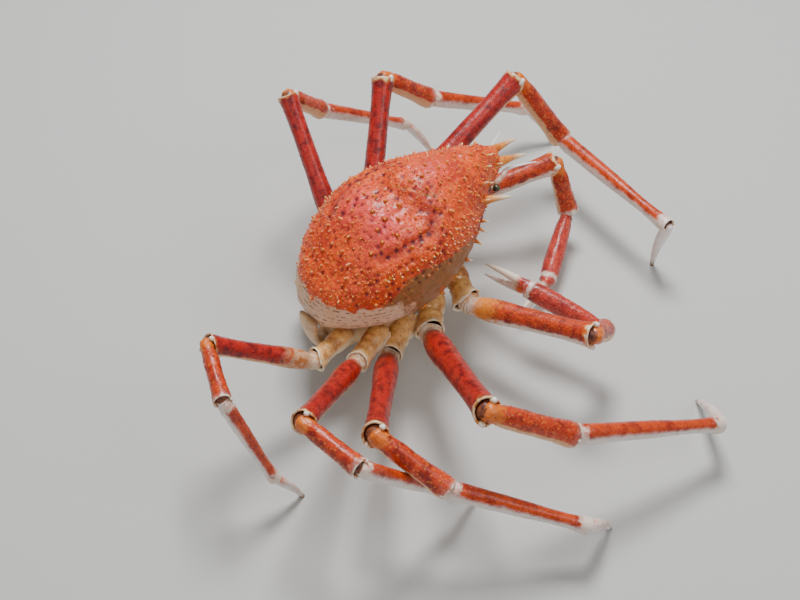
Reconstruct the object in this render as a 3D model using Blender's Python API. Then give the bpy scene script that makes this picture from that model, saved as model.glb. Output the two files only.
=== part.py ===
"""Japanese spider crab, a still life-size model standing on its eight walking legs.

The crab faces +Y with its right side at +X. The floor is z = 0.
"""
import bpy
import bmesh
import math
import random
from mathutils import Matrix, Vector

for old_object in list(bpy.data.objects):
    bpy.data.objects.remove(old_object, do_unlink=True)

# Driving dimensions of the body, in metres and degrees
CARAPACE_LENGTH = 0.185
CARAPACE_HALF_WIDTH = 0.056
DOME_HEIGHT = 0.050
FLANK_DEPTH = 0.021
REAR_Y = -0.0856
BODY_HEIGHT = 0.092
BODY_TURN = 4.5
BODY_PITCH = 12.0
BODY_ROLL = 2.0
GAP = 0.0004
LEG_SIDES = 8
FOOT_FLAT = 0.0018

# Pair 1 carries the claws and pairs 2 to 5 walk: lengths of the merus, carpus,
# propodus and dactyl, then the widest radius of the merus
PAIR_SIZES = {
    1: (0.105, 0.047, 0.0675, 0.039, 0.0088),
    2: (0.1445, 0.073, 0.129, 0.058, 0.0094),
    3: (0.126, 0.0587, 0.1035, 0.046, 0.0088),
    4: (0.1135, 0.0505, 0.1005, 0.0437, 0.0078),
    5: (0.0937, 0.048, 0.0826, 0.037, 0.0070),
}

# Where each pair leaves the sternum, in the body's own frame: side, forward, level
PAIR_ROOTS = {
    1: (0.0250, 0.0248, -0.0375),
    2: (0.0345, -0.0025, -0.0340),
    3: (0.0360, -0.0262, -0.0340),
    4: (0.0347, -0.0518, -0.0268),
    5: (0.0200, -0.0718, -0.0230),
}
COXA_LENGTH = 0.036

# How each limb is held, in degrees, by pair and side (1 is right, -1 is left): swing of
# the coxa from straight out towards the head and its rise, then compass angle and rise of
# the merus, carpus and propodus, then the compass angle of the dactyl, counted from +X
LIMB_POSES = {
    (1, 1): (-22, -5, 23, 16, 119, -44, -157, 7, -168),
    (2, 1): (-45, -1, -20, 31, 64, -35, 73, -21, 149),
    (3, 1): (-70, -12, -40, 29, 26, -25, 50, -21, 98),
    (4, 1): (-70, 12, -55, 32, 13, -3, 81, -50, 87),
    (5, 1): (-81, 12, -104, 38, -18, -3, 32, -68, 72),
    (1, -1): (76, -30, 70, 14, 11, -67, -54, -15, -73),
    (2, -1): (70, -14, 98, 22, 46, -55, 0, 2, 163),
    (3, -1): (64, -30, 137, 38, 83, -43, 76, -25, 45),
    (4, -1): (58, -2, 169, 38, 102, -48, 87, -35, 53),
    (5, -1): (22, -31, 118, -6, 55, 27, 100, -21, -137),
}

# Rise of each claw's fingers and how wide they stand open, in degrees, by side
CLAW_POSES = {1: (-3, 20), -1: (4, 14)}


def turned(point):
    """Carries a point from the body's own frame to the crab's."""
    turn = Matrix.Rotation(math.radians(BODY_TURN), 4, "Z")
    pitch = Matrix.Rotation(math.radians(BODY_PITCH), 4, "X")
    roll = Matrix.Rotation(math.radians(BODY_ROLL), 4, "Y")
    return Matrix.Translation((0, 0, BODY_HEIGHT)) @ turn @ pitch @ roll @ Vector(point)


def heading(compass, rise):
    """Unit direction from a compass angle and a rise, both in degrees."""
    flat = math.cos(math.radians(rise))
    return Vector((
        flat * math.cos(math.radians(compass)),
        flat * math.sin(math.radians(compass)),
        math.sin(math.radians(rise)),
    ))


def material(name, colour, roughness):
    """A plain shell material in the part's own colour."""
    shell = bpy.data.materials.new(name)
    shell.use_nodes = True
    surface = shell.node_tree.nodes["Principled BSDF"]
    surface.inputs["Base Color"].default_value = (*colour, 1.0)
    surface.inputs["Roughness"].default_value = roughness
    surface.inputs["Metallic"].default_value = 0.0
    return shell


def solid(name, points, faces, shell=None):
    """A closed mesh object with its faces pointing out."""
    mesh = bpy.data.meshes.new(name)
    mesh.from_pydata([tuple(p) for p in points], [], faces)
    work = bmesh.new()
    work.from_mesh(mesh)
    bmesh.ops.recalc_face_normals(work, faces=work.faces)
    bmesh.ops.connect_verts_nonplanar(work, angle_limit=0.0001, faces=work.faces)
    work.to_mesh(mesh)
    work.free()
    mesh.shade_smooth()
    mesh.set_sharp_from_angle(angle=math.radians(50))
    item = bpy.data.objects.new(name, mesh)
    bpy.context.scene.collection.objects.link(item)
    if shell:
        mesh.materials.append(shell)
    return item


def skin(rings):
    """Points and faces of a tube through rings of equal count, closed at both ends."""
    count = len(rings[0])
    points = [p for ring in rings for p in ring]
    faces = []
    for row in range(len(rings) - 1):
        for i in range(count):
            j = (i + 1) % count
            faces.append((row * count + i, row * count + j,
                          (row + 1) * count + j, (row + 1) * count + i))
    faces.append(tuple(reversed(range(count))))
    faces.append(tuple((len(rings) - 1) * count + i for i in range(count)))
    return points, faces


def ring(centre, across, upward, wide, tall, sides=LEG_SIDES):
    """One oval ring of points."""
    return [
        centre + across * (wide * math.cos(2 * math.pi * i / sides))
        + upward * (tall * math.sin(2 * math.pi * i / sides))
        for i in range(sides)
    ]


def side_axes(along):
    """The level axis across a limb and the one that completes its section."""
    across = along.cross(Vector((0, 0, 1)))
    if across.length < 0.05:
        across = Vector((1, 0, 0))
    across = (across - along * across.dot(along)).normalized()
    return across, across.cross(along)


def shaft(name, start, along, stations, flat=0.9, grow=0.0, shell=None):
    """A straight limb segment: stations are (distance, radius) from its start."""
    across, upward = side_axes(along)
    rings = [
        ring(start + along * (distance - (grow if i == 0 else 0.0)), across, upward,
             radius * flat + grow, radius + grow)
        for i, (distance, radius) in enumerate(stations)
    ]
    return solid(name, *skin(rings), shell)


def applied(item):
    """Replaces an object's mesh by what its modifiers make of it."""
    depsgraph = bpy.context.evaluated_depsgraph_get()
    result = bpy.data.meshes.new_from_object(item.evaluated_get(depsgraph))
    item.modifiers.clear()
    item.data = result
    return item


def largest_surface(item):
    """Keeps only the largest closed surface of an object's mesh."""
    work = bmesh.new()
    work.from_mesh(item.data)
    bmesh.ops.dissolve_degenerate(work, edges=work.edges, dist=0.000001)
    left = set(work.verts)
    islands = []
    while left:
        island = {left.pop()}
        edge_of_search = list(island)
        while edge_of_search:
            for edge in edge_of_search.pop().link_edges:
                for vert in edge.verts:
                    if vert in left:
                        left.discard(vert)
                        island.add(vert)
                        edge_of_search.append(vert)
        islands.append(island)
    islands.sort(key=len)
    scraps = [vert for island in islands[:-1] for vert in island]
    bmesh.ops.delete(work, geom=scraps, context="VERTS")
    bmesh.ops.triangulate(work, faces=work.faces)
    work.to_mesh(item.data)
    work.free()
    item.data.shade_smooth()
    item.data.set_sharp_from_angle(angle=math.radians(50))
    return item


def combined(item, others, operation):
    """Unites an object with others, or cuts them from it, and removes them."""
    group = bpy.data.collections.new("pieces")
    bpy.context.scene.collection.children.link(group)
    for other in others:
        group.objects.link(other)
    boolean = item.modifiers.new("join", "BOOLEAN")
    boolean.operation = operation
    boolean.operand_type = "COLLECTION"
    boolean.collection = group
    boolean.solver = "EXACT"
    applied(item)
    for other in others:
        bpy.data.objects.remove(other, do_unlink=True)
    bpy.data.collections.remove(group)
    return largest_surface(item)


# Shell colours
RED_SHELL = material("crimson_leg_shell", (0.55, 0.07, 0.05), 0.45)
ORANGE_SHELL = material("orange_leg_shell", (0.68, 0.17, 0.07), 0.45)
PALE_SHELL = material("pale_tip_shell", (0.83, 0.72, 0.62), 0.4)
COXA_SHELL = material("cream_coxa_shell", (0.75, 0.48, 0.28), 0.5)
CARAPACE_SHELL = material("carapace_shell", (0.70, 0.16, 0.07), 0.5)
UNDER_SHELL = material("belly_shell", (0.78, 0.62, 0.48), 0.5)
EYE_SHELL = material("eye_cuticle", (0.10, 0.10, 0.07), 0.15)
FEELER_SHELL = material("feeler_shell", (0.72, 0.62, 0.58), 0.4)


# Legs
def head_stations(radius):
    """The rounded head that a segment turns on, ahead of its neck."""
    return [(-0.70 * radius, 0.62 * radius), (0.0, radius)]


def merus_stations(length, size):
    return head_stations(0.68 * size) + [
        (0.8 * size, 0.72 * size),
        (1.6 * size, 0.95 * size),
        (0.5 * length, size),
        (length - 1.6 * size, 0.98 * size),
        (length - 0.5 * size, 1.14 * size),
        (length + 0.1 * size, 1.12 * size),
    ]


def carpus_stations(length, size):
    return head_stations(0.60 * size) + [
        (0.8 * size, 0.64 * size),
        (1.7 * size, 0.76 * size),
        (0.55 * length, 0.84 * size),
        (length - 1.4 * size, 0.90 * size),
        (length - 0.4 * size, 1.0 * size),
        (length + 0.1 * size, 0.97 * size),
    ]


def propodus_stations(length, size):
    return head_stations(0.52 * size) + [
        (0.7 * size, 0.54 * size),
        (1.6 * size, 0.68 * size),
        (0.45 * length, 0.64 * size),
        (length - 1.2 * size, 0.52 * size),
        (length - 0.4 * size, 0.58 * size),
        (length + 0.05 * size, 0.55 * size),
    ]


def coxa_stations(length, size):
    return [
        (0.0, 1.00 * size),
        (0.22 * length, 1.10 * size),
        (0.46 * length, 1.06 * size),
        (0.54 * length, 0.96 * size),
        (0.62 * length, 1.02 * size),
        (0.86 * length, 1.04 * size),
        (length + 0.05 * size, 1.12 * size),
    ]


def dactyl_rings(start, tip, size, grow=0.0):
    """Rings of the last segment: a curved spike that ends in a small level flat."""
    along = (tip - start).normalized()
    across, upward = side_axes(along)
    bow = start.lerp(tip, 0.55) + upward * (0.10 * (tip - start).length)
    rings = []
    for distance, radius in head_stations(0.34 * size):
        leaving = (bow - start).normalized()
        rings.append(ring(start + leaving * (distance - (grow if not rings else 0.0)), across,
                          across.cross(leaving), radius + grow, radius + grow))
    for t, radius in ((0.14, 0.42), (0.30, 0.42), (0.55, 0.33), (0.80, 0.24)):
        centre = start * (1 - t) ** 2 + bow * (2 * t * (1 - t)) + tip * t ** 2
        leaving = ((bow - start) * (1 - t) + (tip - bow) * t).normalized()
        rings.append(ring(centre, across, across.cross(leaving),
                          0.9 * radius * size + grow, radius * size + grow))
    return rings, across


def condyles(joint, along, onward, reach, size):
    """The two knobs of a hinge, at either end of the axis that the joint bends about."""
    across = along.cross(onward).normalized()
    knobs = []
    for side in (-1, 1):
        place = joint + across * (side * reach) - along * (0.2 * size)
        knob = bpy.data.meshes.new("knob")
        work = bmesh.new()
        bmesh.ops.create_icosphere(work, subdivisions=1, radius=0.36 * size,
                                   matrix=Matrix.Translation(place))
        work.to_mesh(knob)
        work.free()
        item = bpy.data.objects.new("knob", knob)
        bpy.context.scene.collection.objects.link(item)
        knobs.append(item)
    return knobs


def limb_points(pair, side):
    """The joints of a limb, from its root on the sternum to the start of its last piece."""
    root = Vector(PAIR_ROOTS[pair])
    swing, root_rise, *pose = LIMB_POSES[pair, side]
    base = root + heading(swing, root_rise) * COXA_LENGTH
    points = [turned((side * p.x, p.y, p.z)) for p in (root, base)]
    for length, compass, rise in zip(PAIR_SIZES[pair], pose[0:6:2], pose[1:6:2]):
        points.append(points[-1] + heading(compass, rise) * length)
    return points


def foot_point(pair, side, ankle):
    """Where a walking leg's last segment meets the floor."""
    length = PAIR_SIZES[pair][3]
    reach = math.sqrt(length ** 2 - ankle.z ** 2)
    flat_way = heading(LIMB_POSES[pair, side][-1], 0.0)
    return Vector((ankle.x, ankle.y, 0.0)) + flat_way * reach


def dactyl(name, start, tip, size, shell):
    """A walking leg's last segment, ending in a small level flat on the floor."""
    rings, across = dactyl_rings(start, tip, size)
    rings.append(ring(tip, across, across.cross(Vector((0, 0, -1))), FOOT_FLAT, FOOT_FLAT))
    return solid(name, *skin(rings), shell)


def finger_rings(start, along, across, length, size, hook, grow=0.0):
    """A claw's finger: a tapered spike with its tip hooked by a share of its length."""
    bend = across.cross(along) * (hook * length)
    rings = []
    for distance, radius in head_stations(0.36 * size):
        rings.append(ring(start + along * (distance - (grow if not rings else 0.0)), across,
                          across.cross(along), radius + grow, radius + grow))
    for t, radius in ((0.12, 0.40), (0.35, 0.38), (0.70, 0.27), (1.0, 0.10)):
        rings.append(ring(start + along * (t * length) + bend * t * t, across,
                          across.cross(along), 0.85 * radius * size + grow,
                          radius * size + grow))
    return rings


def palm(name, start, end, size, finger_way, finger_length, shell):
    """A claw's palm with its fixed finger, one closed piece."""
    along = (end - start).normalized()
    length = (end - start).length
    across, upward = side_axes(along)
    rings = []
    for distance, radius in head_stations(0.50 * size) + [
        (0.8 * size, 0.56 * size), (1.7 * size, 0.76 * size), (0.45 * length, 0.92 * size),
        (0.80 * length, 0.98 * size), (0.97 * length, 0.90 * size),
    ]:
        rings.append(ring(start + along * distance, across, upward, 0.85 * radius, radius))
    finger_across, finger_up = side_axes(finger_way)
    root = end + upward * (0.36 * size)
    for t, radius in ((0.06, 0.46), (0.35, 0.38), (0.70, 0.27), (1.0, 0.10)):
        hook = finger_up * (0.10 * finger_length * t * t)
        rings.append(ring(root + finger_way * (t * finger_length) - hook, finger_across,
                          finger_up, 0.85 * radius * size, radius * size))
    return solid(name, *skin(rings), shell)


def thorn(root, way, length, radius, sides=5):
    """A pointed thorn whose root is sunk into what it grows from."""
    across, upward = side_axes(way)
    foot = ring(root - way * (0.5 * radius + 0.0006), across, upward, radius, radius, sides)
    faces = [(i, (i + 1) % sides, sides) for i in range(sides)]
    faces.append(tuple(reversed(range(sides))))
    return solid("thorn", foot + [root + way * length], faces)


def spine(root, way, length, radius, sides=6):
    """A long spine with a waist, its root sunk into what it grows from."""
    across, upward = side_axes(way)
    rings = [
        ring(root - way * (0.5 * radius + 0.001), across, upward, radius, radius, sides),
        ring(root + way * (0.45 * length), across, upward, 0.62 * radius, 0.62 * radius, sides),
        ring(root + way * length, across, upward, 0.14 * radius, 0.14 * radius, sides),
    ]
    return solid("spine", *skin(rings))


# Thorns of a claw's merus: three rows of blunt spines along it
THORN_ROWS = (20.0, 90.0, 160.0)
THORNS_IN_ROW = 6


def limb_thorns(start, along, length, size):
    """Rows of blunt thorns on the upper side of a limb segment."""
    across, upward = side_axes(along)
    thorns = []
    for row, turn in enumerate(THORN_ROWS):
        way = (across * (0.9 * math.cos(math.radians(turn)))
               + upward * math.sin(math.radians(turn))).normalized()
        for number in range(THORNS_IN_ROW):
            distance = length * (0.17 + 0.68 * (number + 0.33 * row) / THORNS_IN_ROW)
            place = start + along * distance + way * (0.90 * size)
            thorns.append(thorn(place, way, 0.0036, 0.0017, 4))
    return thorns


SIDE_NAMES = {1: "right", -1: "left"}
coxa_clearances = []
neighbours = {}
for pair, (*segment_lengths, size) in PAIR_SIZES.items():
    merus_length, carpus_length, propodus_length, last_length = segment_lengths
    for side, side_name in SIDE_NAMES.items():
        limb = f"claw_{side_name}" if pair == 1 else f"leg_{side_name}_{pair}"
        root, base, knee, wrist, ankle = limb_points(pair, side)
        ways = [(b - a).normalized() for a, b in
                ((root, base), (base, knee), (knee, wrist), (wrist, ankle))]
        coxa_shape = coxa_stations(COXA_LENGTH, size)
        merus_shape = merus_stations(merus_length, size)
        carpus_shape = carpus_stations(carpus_length, size)
        propodus_shape = propodus_stations(propodus_length, size)

        coxa = shaft(f"{limb}_coxa", root, ways[0], coxa_shape, 1.0, 0.0, COXA_SHELL)
        merus = shaft(f"{limb}_merus", base, ways[1], merus_shape, 0.9, 0.0, RED_SHELL)
        carpus = shaft(f"{limb}_carpus", knee, ways[2], carpus_shape, 0.9, 0.0, ORANGE_SHELL)
        growths = condyles(knee, ways[1], ways[2], 0.92 * size, size)
        if pair == 1:
            growths += limb_thorns(base, ways[1], merus_length, size)
        combined(merus, growths, "UNION")
        combined(carpus, condyles(wrist, ways[2], ways[3], 0.80 * size, 0.8 * size), "UNION")
        combined(coxa, [shaft("clear", base, ways[1], merus_shape[:4], 0.9, GAP)], "DIFFERENCE")
        combined(merus, [shaft("clear", knee, ways[2], carpus_shape[:4], 0.9, GAP)], "DIFFERENCE")
        combined(carpus, [shaft("clear", wrist, ways[3], propodus_shape[:4], 0.9, GAP)],
                 "DIFFERENCE")
        if pair == 1:
            finger_rise, gape = CLAW_POSES[side]
            fixed_way = heading(LIMB_POSES[pair, side][-1], finger_rise)
            hand = palm(f"{limb}_palm", wrist, ankle, size, fixed_way, last_length, RED_SHELL)
            across, upward = side_axes(ways[3])
            open_way = Matrix.Rotation(math.radians(-gape), 3, across) @ fixed_way
            pivot = ankle - upward * (0.42 * size)
            finger = finger_rings(pivot, open_way, across, last_length, size, 0.10)
            solid(f"{limb}_finger", *skin(finger), PALE_SHELL)
            clear = finger_rings(pivot, open_way, across, last_length, size, 0.10, GAP)
        else:
            foot = foot_point(pair, side, ankle)
            hand = shaft(f"{limb}_propodus", wrist, ways[3], propodus_shape, 0.9, 0.0,
                         ORANGE_SHELL)
            dactyl(f"{limb}_dactyl", ankle, foot, size, PALE_SHELL)
            clear, _ = dactyl_rings(ankle, foot, size, GAP)
        combined(hand, [solid("clear", *skin(clear[:4]))], "DIFFERENCE")
        clear_shape = [(-0.002, size)] + coxa_shape[1:] + [(COXA_LENGTH + 0.005, 1.12 * size)]
        clear = shaft("clear", root, ways[0], clear_shape, 1.0, GAP)
        if pair > 1:
            cutter = bpy.data.objects.new("clear", neighbours[side].data.copy())
            combined(coxa, [cutter], "DIFFERENCE")
        neighbours[side] = clear
        coxa_clearances.append(clear)


# Carapace: stations from the rear margin (0) to the base of the rostrum (1), each with
# its half-width, the height of the dome and the half-width of the lower margin
CARAPACE_STATIONS = (
    (0.00, 0.25, 0.09, 0.21),
    (0.05, 0.48, 0.38, 0.39),
    (0.14, 0.74, 0.63, 0.58),
    (0.28, 0.95, 0.86, 0.71),
    (0.42, 1.00, 1.02, 0.76),
    (0.56, 0.90, 1.05, 0.69),
    (0.68, 0.74, 0.93, 0.56),
    (0.78, 0.53, 0.80, 0.39),
    (0.87, 0.35, 0.68, 0.27),
    (0.94, 0.21, 0.50, 0.15),
    (1.00, 0.11, 0.28, 0.07),
)
CARAPACE_RINGS = 24
CARAPACE_SIDES = 28


def carapace_shape(share):
    """Half-width, dome height and lower half-width at a share of the length."""
    for low, high in zip(CARAPACE_STATIONS, CARAPACE_STATIONS[1:]):
        if share <= high[0]:
            break
    t = (share - low[0]) / (high[0] - low[0])
    wide, tall, under = (a + (b - a) * t for a, b in zip(low[1:], high[1:]))
    return wide * CARAPACE_HALF_WIDTH, tall * DOME_HEIGHT, under * CARAPACE_HALF_WIDTH


# Swellings and grooves of the dome: side, forward, spread along and height
SWELLINGS = (
    (0.000, 0.036, 0.017, 0.0050),
    (0.000, -0.026, 0.013, 0.0040),
    (0.029, -0.022, 0.020, 0.0040),
    (-0.029, -0.022, 0.020, 0.0040),
    (0.021, 0.006, 0.008, -0.0045),
    (-0.021, 0.006, 0.008, -0.0045),
    (0.000, 0.004, 0.007, -0.0025),
)


def relief(x, y):
    """Height that the regions of the shell add to the dome."""
    return sum(
        height * math.exp(-((x - side) ** 2 + (y - forward) ** 2) / (2 * spread ** 2))
        for side, forward, spread, height in SWELLINGS
    )


def carapace_point(share, turn):
    """A point of the shell's surface: turn runs from the right margin over the top."""
    wide, tall, under = carapace_shape(share)
    y = REAR_Y + share * CARAPACE_LENGTH
    c, s = math.cos(turn), math.sin(turn)
    if s >= 0:
        x = wide * math.copysign(abs(c) ** 0.92, c)
        return Vector((x, y, tall * s ** 0.88 + relief(x, y) * s))
    x = math.copysign(abs(c) ** 0.5, c) * (wide + (under - wide) * abs(s) ** 1.2)
    drop = FLANK_DEPTH * (0.45 + 0.55 * math.sin(math.pi * min(1.0, share * 1.1 + 0.05)))
    return Vector((x, y, -drop * abs(s) ** 0.8))


def body_way(way, side=1):
    """A direction given in the body's own frame, as the crab holds it."""
    return (turned((side * way[0], way[1], way[2])) - turned((0, 0, 0))).normalized()


carapace_rings = []
for row in range(CARAPACE_RINGS + 1):
    share = 0.5 - 0.5 * math.cos(math.pi * row / CARAPACE_RINGS)
    carapace_rings.append([
        turned(carapace_point(share, 2 * math.pi * (i + 0.5) / CARAPACE_SIDES))
        for i in range(CARAPACE_SIDES)
    ])
carapace = solid("carapace", *skin(carapace_rings), CARAPACE_SHELL)

# Named spines of the head, each with its root, tip and radius: the two horns of the
# rostrum, then on each side one over the eye, one behind it and two below that
HEAD_SPINES = (
    ((0.0050, 0.0950, 0.0040), (0.0108, 0.1208, -0.0050), 0.0030),
    ((-0.0045, 0.0950, 0.0040), (-0.0052, 0.1265, -0.0050), 0.0030),
    ((0.0090, 0.0730, 0.0080), (0.0150, 0.0790, 0.0105), 0.0022),
    ((-0.0090, 0.0730, 0.0080), (-0.0150, 0.0790, 0.0105), 0.0022),
    ((0.0190, 0.0590, 0.0020), (0.0345, 0.0830, 0.0020), 0.0048),
    ((-0.0190, 0.0590, 0.0020), (-0.0345, 0.0830, 0.0020), 0.0048),
    ((0.0300, 0.0480, -0.0060), (0.0400, 0.0530, -0.0080), 0.0024),
    ((-0.0300, 0.0480, -0.0060), (-0.0400, 0.0530, -0.0080), 0.0024),
    ((0.0360, 0.0400, -0.0060), (0.0460, 0.0430, -0.0080), 0.0024),
    ((-0.0360, 0.0400, -0.0060), (-0.0460, 0.0430, -0.0080), 0.0024),
)
head_spines = []
for root, tip, radius in HEAD_SPINES:
    start, end = turned(root), turned(tip)
    way = (end - start).normalized()
    head_spines.append(spine(start, way, (end - start).length, radius))
combined(carapace, head_spines, "UNION")

# Tubercles of the shell: blunt thorns spread over the dome and down the flanks, larger
# towards the middle of each swelling, and a row of longer spines along each margin
TUBERCLE_COUNT = 112
TUBERCLE_SPACING = 0.0102
TUBERCLE_HEIGHT = 0.0034
TUBERCLE_RADIUS = 0.0021
MARGIN_SPINES = 7
MARGIN_SPINE_LENGTH = 0.0058
thorn_random = random.Random(11)


def shell_way(share, turn):
    """The direction that points straight out of the shell at a place on it."""
    step = 0.01
    forward = carapace_point(share + step, turn) - carapace_point(share - step, turn)
    round_it = carapace_point(share, turn + step) - carapace_point(share, turn - step)
    way = forward.cross(round_it).normalized()
    return way if way.dot(carapace_point(share, turn) - Vector((0, 0, -0.03))) > 0 else -way


thorns = []
places = []
for attempt in range(6000):
    if len(places) == TUBERCLE_COUNT:
        break
    share = thorn_random.uniform(0.05, 0.95)
    turn = math.radians(thorn_random.uniform(-12, 192))
    place = carapace_point(share, turn)
    spacing = TUBERCLE_SPACING * (0.72 if share > 0.8 else 1.0)
    if min([(place - other).length for other in places], default=1.0) < spacing:
        continue
    places.append(place)
    swell = max(0.0, relief(place.x, place.y)) / 0.005
    height = TUBERCLE_HEIGHT * (0.75 + 0.35 * swell + thorn_random.uniform(-0.15, 0.25))
    lean = Vector((0.0, 0.25, 0.0)) if share > 0.5 else Vector((0.0, 0.0, 0.0))
    way = (shell_way(share, turn) + lean).normalized()
    thorns.append(thorn(turned(place), body_way(way), height, TUBERCLE_RADIUS))
for side in SIDE_NAMES:
    for number in range(MARGIN_SPINES):
        share = 0.34 + 0.50 * number / (MARGIN_SPINES - 1)
        turn = math.radians(-4 if side == 1 else 184)
        way = (shell_way(share, turn) + Vector((0.0, 0.5, 0.0))).normalized()
        length = MARGIN_SPINE_LENGTH * (0.8 + 0.05 * number)
        thorns.append(thorn(turned(carapace_point(share, turn)), body_way(way), length, 0.0022))
combined(carapace, thorns, "UNION")


# Sternum: the belly plate that the limbs turn in, below the carapace
STERNUM_STATIONS = (
    (-0.079, 0.012), (-0.071, 0.021), (-0.052, 0.033), (-0.028, 0.037),
    (-0.002, 0.035), (0.024, 0.029), (0.040, 0.018), (0.046, 0.009),
)
STERNUM_TOP = -0.0215
STERNUM_BOTTOM = -0.046


def plate_ring(y, half_width, low, high, bevel):
    """A flat oval section across the body with its edges drawn in."""
    corners = (
        (half_width, low + bevel), (half_width, high - bevel), (half_width - bevel, high),
        (bevel - half_width, high), (-half_width, high - bevel), (-half_width, low + bevel),
        (bevel - half_width, low), (half_width - bevel, low),
    )
    return [turned((x, y, z)) for x, z in corners]


sternum = solid("sternum", *skin([
    plate_ring(y, half_width, STERNUM_BOTTOM, STERNUM_TOP, 0.004)
    for y, half_width in STERNUM_STATIONS
]), UNDER_SHELL)


# Abdomen: the tail, folded under the sternum from the rear margin
ABDOMEN_PATH = (
    (-0.0888, -0.0060, 0.0095), (-0.0908, -0.0140, 0.0095), (-0.0912, -0.0260, 0.0095),
    (-0.0892, -0.0390, 0.0110), (-0.0815, -0.0500, 0.0135), (-0.0660, -0.0535, 0.0150),
    (-0.0480, -0.0545, 0.0145), (-0.0280, -0.0545, 0.0120), (-0.0100, -0.0540, 0.0080),
    (0.0020, -0.0535, 0.0040),
)
ABDOMEN_THICKNESS = 0.0055


def abdomen_rings():
    """Sections of the folded tail along its path."""
    rings = []
    for i, (y, z, half_width) in enumerate(ABDOMEN_PATH):
        before = ABDOMEN_PATH[max(i - 1, 0)]
        after = ABDOMEN_PATH[min(i + 1, len(ABDOMEN_PATH) - 1)]
        along = Vector((0, after[0] - before[0], after[1] - before[1])).normalized()
        outward = along.cross(Vector((1, 0, 0)))
        rings.append([
            turned(Vector((0, y, z)) + Vector((1, 0, 0)) * p.x + outward * p.y)
            for p in ring(Vector((0, 0, 0)), Vector((1, 0, 0)), Vector((0, 1, 0)),
                          half_width, ABDOMEN_THICKNESS / 2, 10)
        ])
    return rings


solid("abdomen", *skin(abdomen_rings()), UNDER_SHELL)


# Mouthparts: the outer pair of flat jaws that closes the mouth from below
for side, side_name in SIDE_NAMES.items():
    solid(f"mouthpart_{side_name}", *skin([
        [turned((side * (0.0080 + x), y, z)) for x, z in (
            (-w, -0.0300), (-w, -0.0250), (w, -0.0235), (w, -0.0310), (0.4 * w, -0.0325),
        )]
        for y, w in ((0.0475, 0.0050), (0.056, 0.0072), (0.066, 0.0068), (0.073, 0.0045))
    ]), COXA_SHELL)


# Eyes and feelers, set in sockets in the front of the carapace. A feeler's path has a
# point and a radius at each of its joints and along its whip
EYE_ROOT = (0.0105, 0.0735, 0.0010)
EYE_WAY = (0.80, 0.60, 0.02)
EYE_STALK = 0.0105
EYE_RADIUS = 0.0034
FEELER_PATH = (
    ((0.0110, 0.0790, -0.0010), 0.0020), ((0.0150, 0.0860, -0.0010), 0.0023),
    ((0.0138, 0.0930, -0.0020), 0.0021), ((0.0115, 0.0995, -0.0030), 0.0017),
    ((0.0125, 0.1040, -0.0040), 0.0010), ((0.0160, 0.1130, -0.0055), 0.0008),
    ((0.0205, 0.1220, -0.0070), 0.0004),
)
head_clearances = []


def eye_stations():
    """The stalk, then the ball at its end."""
    ball = EYE_STALK + 0.6 * EYE_RADIUS
    return [(0.0, 0.0017), (0.72 * EYE_STALK, 0.0019)] + [
        (ball - EYE_RADIUS * math.cos(math.radians(turn)),
         EYE_RADIUS * math.sin(math.radians(turn)))
        for turn in (45, 75, 105, 135, 160)
    ]


def feeler_rings(side, grow=0.0):
    """Rings along a feeler, square to its path."""
    places = [turned((side * p[0], p[1], p[2])) for p, _ in FEELER_PATH]
    rings = []
    for i, (place, (_, radius)) in enumerate(zip(places, FEELER_PATH)):
        along = (places[min(i + 1, len(places) - 1)] - places[max(i - 1, 0)]).normalized()
        across, upward = side_axes(along)
        centre = place if i else place - along * grow
        rings.append(ring(centre, across, upward, radius + grow, radius + grow))
    return rings


for side, side_name in SIDE_NAMES.items():
    start = turned((side * EYE_ROOT[0], EYE_ROOT[1], EYE_ROOT[2]))
    along = body_way(EYE_WAY, side)
    shaft(f"eye_{side_name}", start, along, eye_stations(), 1.0, 0.0, EYE_SHELL)
    head_clearances.append(shaft("clear", start, along, eye_stations(), 1.0, GAP))
    solid(f"feeler_{side_name}", *skin(feeler_rings(side)), FEELER_SHELL)
    head_clearances.append(solid("clear", *skin(feeler_rings(side, GAP))))
combined(carapace, head_clearances, "DIFFERENCE")
for body_piece in ("sternum", "carapace", "abdomen"):
    group = [bpy.data.objects.new("clear", item.data.copy()) for item in coxa_clearances]
    combined(bpy.data.objects[body_piece], group, "DIFFERENCE")
for item in coxa_clearances:
    bpy.data.objects.remove(item, do_unlink=True)


# The crab is centred over the origin, standing on the floor
nodes = [item for item in bpy.data.objects if item.type == "MESH"]
corners = [vertex.co for item in nodes for vertex in item.data.vertices]
centre_x = (min(c.x for c in corners) + max(c.x for c in corners)) / 2
centre_y = (min(c.y for c in corners) + max(c.y for c in corners)) / 2
crab = bpy.data.objects.new("crab", None)
bpy.context.scene.collection.objects.link(crab)
crab.location = (-centre_x, -centre_y, 0.0)
for item in nodes:
    item.parent = crab
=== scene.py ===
import bpy
import bmesh
import math
import numpy as np
from mathutils import Matrix, Vector, noise


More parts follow.
